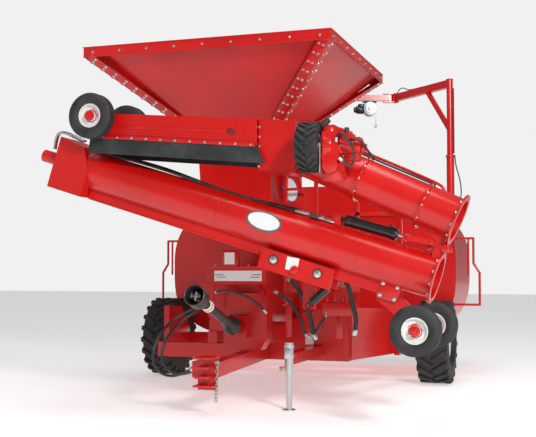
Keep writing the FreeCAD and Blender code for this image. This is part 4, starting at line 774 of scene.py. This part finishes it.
bolt_set("intake_flange_bolts", "intake_section", bright, spots, high_way, 0.020, 0.012)


# ------------------------------------------------------------------ mover drive
# A cast gearbox with a hydraulic motor and valve turns the lugged tyre. Its hoses
# are short and stiff, and a plated guard stands between tyre and gearbox.
gx, gy, gz = 1.191, -2.815, 2.226
casting = [barrel((gx + 0.005, gy, gz), (gx + 0.075, gy, gz), 0.118, 0.105, 0.010),
           barrel((gx + 0.075, gy, gz), (gx + 0.140, gy, gz), 0.088, 0.076, 0.008),
           barrel((gx + 0.045, gy - 0.010, gz + 0.075), (gx + 0.045, gy - 0.010, gz + 0.150), 0.070,
                  0.062, 0.008),
           slab((gx + 0.045, gy - 0.010, gz + 0.158), (0.095, 0.095, 0.016), (1, 0, 0), (0, 0, 1), 0.006),
           barrel((gx + 0.150, gy - 0.020, gz + 0.020), (gx + 0.300, gy - 0.020, gz - 0.020), 0.064,
                  0.058, 0.010),
           barrel((gx + 0.300, gy - 0.020, gz - 0.020), (gx + 0.330, gy - 0.020, gz - 0.028), 0.040,
                  0.036, 0.006),
           slab((gx + 0.205, gy - 0.095, gz + 0.045), (0.110, 0.050, 0.080), (1, 0, -0.2), (0, 0, 1), 0.008),
           barrel((gx + 0.060, gy + 0.030, gz - 0.115), (gx + 0.060, gy + 0.060, gz - 0.255), 0.088,
                  0.096, 0.010),
           barrel((gx + 0.060, gy - 0.050, gz - 0.150), (gx + 0.060, gy - 0.100, gz - 0.155), 0.070,
                  0.062, 0.008),
           slab((gx + 0.150, gy + 0.010, gz + 0.105), (0.120, 0.110, 0.060), (1, 0, -0.35), (0, 0, 1), 0.012),
           slab((gx + 0.225, gy + 0.015, gz - 0.085), (0.100, 0.120, 0.070), (1, 0, 0), (0, 0, 1), 0.012)]
for k in range(6):
    w = math.pi * k / 3
    casting.append(slab((gx + 0.040, gy + 0.112 * math.cos(w), gz + 0.112 * math.sin(w)),
                        (0.070, 0.024, 0.030),
                        (1, 0, 0), (0, math.cos(w), math.sin(w)), 0.005))
settle(gather(casting), "drive_casting", "intake_section", red)
bolt_set("drive_casting_bolts", "intake_section", bright,
         [(gx + 0.141, gy + 0.072 * math.cos(w), gz + 0.072 * math.sin(w))
          for w in [math.pi * k / 4 for k in range(8)]],
         (1, 0, 0), 0.015, 0.010)
plate_steel = zinc("guard_plate", (0.60, 0.62, 0.64), 0.35, 14)
settle(slab((1.180, -2.862, 2.130), (0.008, 0.150, 0.230), (1, 0, 0), (0, 0, 1), 0.002),
       "drive_guard_plate", "intake_section", plate_steel)
black_fitting = rubber("black_fitting", (0.03, 0.03, 0.03), 0.35, 80, 0.05)
settle(gather([barrel((gx - 0.005, gy - 0.045, gz + 0.165), (gx + 0.045, gy - 0.060, gz + 0.205), 0.026),
               barrel((gx + 0.200, gy - 0.110, gz + 0.090), (gx + 0.205, gy - 0.115, gz + 0.130), 0.018)]),
       "drive_breather", "intake_section", black_fitting)


def pipe_run(name, body, points, radius, paint):
    """A formed hose or tube, made as one smooth mesh through its route's points."""
    piece = hose_line(name, body, points, radius, paint, 8)
    bpy.ops.object.select_all(action="DESELECT")
    piece.select_set(True)
    bpy.context.view_layer.objects.active = piece
    bpy.ops.object.convert(target="MESH")
    bpy.ops.object.shade_smooth()
    return bpy.context.object


pipe_run("drive_hose_upper", "intake_section",
         [(gx + 0.120, gy - 0.110, gz + 0.060), (gx + 0.150, gy - 0.150, gz + 0.090),
          (gx + 0.205, gy - 0.160, gz + 0.060),
          (gx + 0.250, gy - 0.130, gz - 0.020), (gx + 0.262, gy - 0.100, gz - 0.100), (gx + 0.240,
                  gy - 0.080, gz - 0.160),
          (gx + 0.200, gy - 0.095, gz - 0.170), (gx + 0.160, gy - 0.110, gz - 0.120)], 0.010, hose_rubber)
pipe_run("drive_hose_lower", "intake_section",
         [(gx + 0.215, gy - 0.110, gz + 0.030), (gx + 0.270, gy - 0.140, gz + 0.040),
          (gx + 0.320, gy - 0.100, gz + 0.010),
          (gx + 0.345, gy - 0.010, gz - 0.050), (gx + 0.370, gy + 0.090, gz - 0.090)], 0.010, hose_rubber)
settle(gather([barrel((gx + 0.170, gy - 0.100, gz - 0.130), (gx + 0.140, gy - 0.115, gz - 0.100), 0.015),
               barrel((gx + 0.120, gy - 0.110, gz + 0.060), (gx + 0.116, gy - 0.100, gz + 0.025), 0.016)]),
       "drive_hose_ends", "intake_section", coupler_steel)


# ------------------------------------------------------------------ auger plumbing
# Steel lines and hoses run along the top of the lower tube from its motor at the
# left end to swivel fittings near the fold, clipped down along the way.
line_steel = zinc("line_steel", (0.60, 0.61, 0.62), 0.28, 25)
for k, (y, lift) in enumerate(((-0.050, 0.012), (-0.010, 0.020))):
    rise = -0.243 + math.sqrt(0.1725 ** 2 - y * y)
    pipe_run("tube_line_" + str(k), "discharge_section",
             [along_discharge(s, rise + 0.016 + lift * math.sin((s + 3.0) * 4), y) for s in
              (-3.36, -3.20, -3.00, -2.75, -2.50, -2.25, -2.00, -1.78, -1.60, -1.42,
               -1.26)], 0.011, hose_rubber)
    pipe_run("tube_line_bend_" + str(k), "discharge_section",
             [along_discharge(-3.62, -0.160, y * 0.4), along_discharge(-3.64, -0.060 + lift, y * 0.5),
              along_discharge(-3.60, -0.010 + lift, y * 0.7), along_discharge(-3.50, -0.008 + lift, y),
              along_discharge(-3.34, -0.030 + lift, y)], 0.012, line_steel)
    settle(gather([barrel(along_discharge(-1.27, rise + 0.020, y),
                          along_discharge(-1.16, rise + 0.022, y), 0.016, 0.014, 0.002, 12),
                   barrel(along_discharge(-1.16, rise + 0.022, y),
                          along_discharge(-1.02, rise + 0.022, y), 0.010),
                   barrel(along_discharge(-1.08, rise + 0.022, y),
                          along_discharge(-1.04, rise + 0.022, y), 0.017, 0.017, 0.002, 6),
                   barrel(along_discharge(-1.02, rise + 0.022, y),
                          along_discharge(-0.93, rise + 0.018, y), 0.014, 0.011, 0.002, 12)]),
           "tube_line_fittings_" + str(k), "discharge_section", coupler_steel)
clips = [slab(along_discharge(s, -0.243 + 0.182, -0.030), (0.030, 0.110, 0.010), low_way, low_up, 0.003)
         for s in (-3.05, -2.3, -1.62)]
clips.append(slab(along_discharge(-1.10, -0.052, -0.030), (0.080, 0.100, 0.030), low_way, low_up, 0.004))
settle(gather(clips), "tube_line_clips", "discharge_section", black_fitting)


# ------------------------------------------------------------------ fold linkage
# A hydraulic cylinder, a pair of straps and a pair of links swing the upper auger
# over. The barrel is black enamel with a screwed gland; the rod is hard chrome.
black_enamel = enamel("black_enamel", (0.012, 0.012, 0.013), 0.24, 0.2)
chrome = zinc("rod_chrome", (0.78, 0.79, 0.80), 0.13, 12)
coat(black_enamel, "fold_cylinder_barrel", "tilt_cylinder_barrel")
coat(chrome, "fold_cylinder_rod", "tilt_cylinder_rod")
coat(red, "fold_rocker", "fold_link", "auger_arm")
aim = (along_discharge(-0.327, -0.005, 0) - along_discharge(-0.921, -0.015, 0)).normalized()
foot = along_discharge(-0.921, -0.015, 0)
settle(gather([barrel(foot + aim * 0.074, foot + aim * 0.112, 0.049, edge=0.004),
               barrel(foot + aim * 0.462, foot + aim * 0.508, 0.050, edge=0.004),
               barrel(foot + aim * 0.508, foot + aim * 0.520, 0.034, 0.028, 0.003),
               barrel(foot + aim * 0.135 + high_up * 0.040, foot + aim * 0.135 + high_up * 0.066, 0.015,
                      edge=0.002, sides=16),
               barrel(foot + aim * 0.440 + high_up * 0.040, foot + aim * 0.440 + high_up * 0.066, 0.015,
                      edge=0.002, sides=16)]),
       "fold_cylinder_gland", "fold_barrel", black_enamel)
pin_heads = []
for body, (s, n), half, radius in (("discharge_section", (-0.921, -0.015), 0.040, 0.022),
                                   ("discharge_section", (-0.130, -0.038), 0.044, 0.019)):
    for sign in (-1, 1):
        pin_heads.append(barrel(along_discharge(s, n, sign * (half - 0.004)),
                                along_discharge(s, n, sign * (half + 0.006)), radius, edge=0.002))
settle(gather(pin_heads), "fold_pin_heads", "discharge_section", red)
pin_heads = []
for sign in (-1, 1):
    pin_heads.append(barrel(along_discharge(0, 0, sign * 0.096), along_discharge(0, 0, sign * 0.108),
                            0.031, edge=0.003))
    pin_heads.append(barrel(along_intake(0.120, 0, sign * 0.098), along_intake(0.120, 0, sign * 0.106),
                            0.018, edge=0.002))
settle(gather(pin_heads), "hinge_pin_heads", "intake_section", red)


# ------------------------------------------------------------------ tilt support
# The tilt pin's round head and grease nipple show on the bracket's outer cheek.
tilt_spot = along_discharge(-1.110, -0.520, 0)
nut = gather([barrel(tilt_spot + Vector((0, -0.122, 0)), tilt_spot + Vector((0, -0.150, 0)), 0.036, 0.034,
                     0.004),
              barrel(tilt_spot + Vector((0, -0.150, 0)), tilt_spot + Vector((0, -0.158, 0)), 0.012,
                     edge=0.002, sides=12)])
settle(nut, "tilt_pin_head", "chassis", red)


# ------------------------------------------------------------------ hose bundles
# Hydraulic hoses leave a valve block on the front beam and loop up to the auger
# with slack for its tilt. Crimped steel ends join them to the block.
valve_x, valve_y, valve_z = 0.905, -1.262, 0.905
valves = [slab((valve_x, valve_y, valve_z), (0.300, 0.090, 0.120), (1, 0, 0), (0, 0, 1), 0.005)]
for k in range(4):
    x = valve_x - 0.115 + 0.077 * k
    valves.append(barrel((x, valve_y, valve_z + 0.060), (x, valve_y, valve_z + 0.115), 0.022, 0.020,
                         0.003, 16))
    valves.append(slab((x, valve_y, valve_z + 0.120), (0.014, 0.014, 0.075), (1, 0, 0.15), (0, 0, 1), 0.003))
settle(gather(valves), "valve_block", "chassis", red)
runs = (("loop_hose_a", [(0.430, -1.300, 1.180), (0.470, -1.330, 1.170), (0.527, -1.340, 1.101),
                         (0.600, -1.330, 0.960),
                         (0.645, -1.320, 0.830), (0.665, -1.310, 0.690), (0.680, -1.300, 0.640)], 0.021),
        ("loop_hose_b", [(0.965, -1.330, 1.205), (1.000, -1.345, 1.150), (1.030, -1.345, 1.060),
                         (1.050, -1.335, 0.960),
                         (1.075, -1.325, 0.860), (1.085, -1.320, 0.770), (1.060, -1.310, 0.690)], 0.021),
        ("loop_hose_c", [(0.300, -1.320, 1.060), (0.400, -1.350, 1.020), (0.500, -1.355, 0.920),
                         (0.560, -1.345, 0.800),
                         (0.575, -1.330, 0.700), (0.620, -1.315, 0.650)], 0.014),
        ("loop_hose_d", [(0.790, -1.300, 0.860), (0.770, -1.330, 0.800), (0.730, -1.340, 0.740),
                         (0.690, -1.320, 0.690),
                         (0.640, -1.300, 0.660)], 0.012),
        ("loop_hose_e", [(-0.240, -1.480, 1.060), (-0.140, -1.600, 1.080), (-0.020, -1.640, 1.070),
                         (0.100, -1.600, 1.030),
                         (0.180, -1.520, 0.970), (0.240, -1.440, 0.880)], 0.012))
crimps = []
for name, route, radius in runs:
    pipe_run(name, "chassis", route, radius, hose_rubber)
    for a, b in ((route[0], route[1]), (route[-1], route[-2])):
        way = (Vector(b) - Vector(a)).normalized()
        crimps.append(barrel(Vector(a) - way * 0.020, Vector(a) + way * 0.034, radius * 1.22, edge=0.002,
                             sides=16))
settle(gather(crimps), "hose_crimps", "chassis", coupler_steel)
knob = [barrel((0.417, -1.240, 0.963), (0.417, -1.300, 0.963), 0.012, edge=0.002, sides=16),
        barrel((0.417, -1.300, 0.963), (0.417, -1.322, 0.963), 0.024, edge=0.004)]
for k in range(5):
    w = math.pi * 2 * k / 5
    knob.append(barrel((0.417 + 0.020 * math.cos(w), -1.311, 0.963 + 0.020 * math.sin(w)),
                       (0.417 + 0.052 * math.cos(w), -1.311,
                        0.963 + 0.052 * math.sin(w)), 0.012, 0.014, 0.004, 16))
settle(gather(knob), "star_knob", "chassis", red)
bracket = [slab((0.417, -1.262, 0.820), (0.050, 0.050, 0.360), (1, 0, 0), (0, 0, 1), 0.004),
           slab((0.905, -1.262, 0.740), (0.050, 0.060, 0.210), (1, 0, 0), (0, 0, 1), 0.004)]
settle(gather(bracket), "valve_posts", "chassis", red)


# ------------------------------------------------------------------ safety chain
# Short-link welded steel chain hangs from the clevis and hooks back on itself.
links = []
for k in range(11):
    z = 0.446 - 0.030 * k
    bpy.ops.mesh.primitive_torus_add(major_radius=0.015, minor_radius=0.0045, major_segments=20,
                                     minor_segments=8)
    link = bpy.context.object
    turn = Matrix.Rotation(math.radians(90 * (k % 2) + 25), 4, "Z")
    link.matrix_world = Matrix.Translation((0.052 - 0.0012 * k, -2.190,
                                            z)) @ turn @ Matrix.Rotation(math.pi / 2, 4,
            "X") @ Matrix.Diagonal((0.8, 1.35, 1, 1))
    bpy.ops.object.transform_apply(location=True, rotation=True, scale=True)
    links.append(link)
links.append(slab((0.050, -2.190, 0.470), (0.040, 0.030, 0.030), (1, 0, 0), (0, 0, 1), 0.004))
chain_steel = zinc("chain_steel", (0.50, 0.49, 0.47), 0.4, 60)
settle(gather(links), "safety_chain", "chassis", chain_steel, 60)


# ------------------------------------------------------------------ crane
# A square boom on a round post swings new bags up to the tunnel. The elbow arm
# carries an electric winch: black motor, zinc drum, a few turns of wire rope.
coat(red, "crane_post", "crane_mast", "crane_arm")
coat(black_enamel, "crane_winch")
post_foot = Vector((1.5450, 1.6150, 0))
collar = [barrel(post_foot + Vector((0, 0, 2.610)), post_foot + Vector((0, 0, 2.640)), 0.053, edge=0.003),
          barrel(post_foot + Vector((0, 0, 3.545)), post_foot + Vector((0, 0, 3.556)), 0.042, edge=0.003)]
settle(collar[0], "post_collar", "chassis", red)
settle(collar[1], "mast_cap", "crane_swing", red)
elbow = Vector((0.7350, 2.3950, 3.500))
reach = Vector((math.cos(math.radians(198)), math.sin(math.radians(198)), 0))
across = Vector((-reach.y, reach.x, 0))
drum = elbow + reach * 0.330 + Vector((0, 0, -0.146))
zinc_drum = zinc("winch_zinc", (0.66, 0.68, 0.70), 0.32, 30)
cheeks = []
for sign in (-1, 1):
    cheeks.append(barrel(drum + across * sign * 0.070, drum + across * sign * 0.079, 0.088, edge=0.003))
    cheeks.append(barrel(drum + across * sign * 0.079, drum + across * sign * 0.090, 0.030, edge=0.003))
    for k in range(6):
        w = math.pi * k / 3
        spot = drum + reach * 0.055 * math.cos(w) + Vector((0, 0, 0.055 * math.sin(w)))
        cheeks.append(barrel(spot + across * sign * 0.078, spot + across * sign * 0.084, 0.007,
                             edge=0.001, sides=12))
for k in range(9):
    cheeks.append(spun([(0.074 + 0.006 * math.cos(v), 0.006 * math.sin(v))
                        for v in [math.pi * i / 3 for i in range(6)]],
                       drum + across * (-0.056 + 0.014 * k), across, 40))
settle(gather(cheeks), "winch_drum", "crane_boom", zinc_drum)
motor = [barrel(drum + reach * 0.080 - across * 0.050, drum + reach * 0.175 - across * 0.050, 0.055,
                0.050, 0.008),
         barrel(drum + reach * 0.175 - across * 0.050, drum + reach * 0.205 - across * 0.050, 0.036,
                edge=0.005),
         slab(drum + reach * 0.110 - across * 0.050 + Vector((0, 0, 0.055)), (0.080, 0.070, 0.040), reach,
              (0, 0, 1), 0.006)]
settle(gather(motor), "winch_motor", "crane_boom", black_enamel)
hook_line = [barrel(drum + across * 0.020 + reach * -0.074,
                    drum + across * 0.020 + reach * -0.070 - Vector((0, 0, 0.200)), 0.004, edge=0.001,
                    sides=12),
             barrel(drum + across * 0.020 + reach * -0.070 - Vector((0, 0, 0.200)),
                    drum + across * 0.020 + reach * -0.070 - Vector((0, 0, 0.250)), 0.016, 0.010, 0.003, 16)]
settle(gather(hook_line), "winch_rope", "crane_boom", zinc_drum)
pipe_run("crane_wire", "crane_swing",
         [post_foot + Vector((0.046, -0.012, z))
          for z in (3.440, 3.300, 3.100, 2.900, 2.720, 2.660)], 0.007, hose_rubber)
pipe_run("crane_wire_arm", "crane_swing",
         [elbow + Vector((0.030, -0.030, 0.050)), elbow + Vector((0.060, -0.060, 0.100)),
          elbow + Vector((0.130, -0.125, 0.110)),
          elbow + Vector((0.200, -0.190, 0.060)), elbow + Vector((0.300, -0.288,
                  0.052)), elbow + Vector((0.420, -0.403, 0.052))],
         0.006, hose_rubber)
pipe_run("post_wire", "chassis",
         [post_foot + Vector((0.054, -0.012, 2.640)), post_foot + Vector((0.062, -0.014, 2.520)),
          post_foot + Vector((0.100, -0.020, 2.400)),
          post_foot + Vector((0.130, -0.020, 2.250)), post_foot + Vector((0.120, -0.010,
                  2.100)), post_foot + Vector((0.060, 0.000, 1.960))],
         0.007, hose_rubber)


# ------------------------------------------------------------------ intake pipe
# A formed red steel tube guards the hoses on top of the upper auger tube.
pipe_run("guard_pipe", "intake_section",
         [along_intake(u, w, 0.02) for u,
          w in ((1.06, 0.412), (1.04, 0.440), (0.95, 0.452), (0.75, 0.454), (0.50, 0.452),
                                               (0.30, 0.448), (0.22, 0.436), (0.20, 0.410))], 0.012, red)
pipe_run("guard_hose", "intake_section",
         [along_intake(u, w, -0.03) for u,
          w in ((1.10, 0.430), (0.95, 0.432), (0.70, 0.430), (0.45, 0.430), (0.28, 0.428))],
         0.009, hose_rubber)


# ------------------------------------------------------------------ tunnel
# The bag is bunched on a rolled steel tunnel: a flat front wall, a round skin with
# a rolled edge, guide rods at both sides and a pan below that carries the folds.
coat(red, "tunnel_front_wall", "tunnel_skin", "bag_pan", "bag_guides")
worn = zinc("worn_flight", (0.42, 0.36, 0.30), 0.42, 18)
coat(worn, "bagging_screw")
stiffeners = []
for sign in (-1, 1):
    for x, z, tall in ((0.620, 1.350, 1.500), (1.150, 1.300, 1.150)):
        stiffeners.append(slab((sign * x - 0.190026, 1.520, z), (0.050, 0.028, tall), (1, 0, 0),
                               (0, 0, 1), 0.004))
stiffeners.append(slab((-0.190026, 1.520, 1.950), (2.200, 0.028, 0.050), (1, 0, 0), (0, 0, 1), 0.004))
settle(gather(stiffeners), "tunnel_stiffeners", "chassis", red)
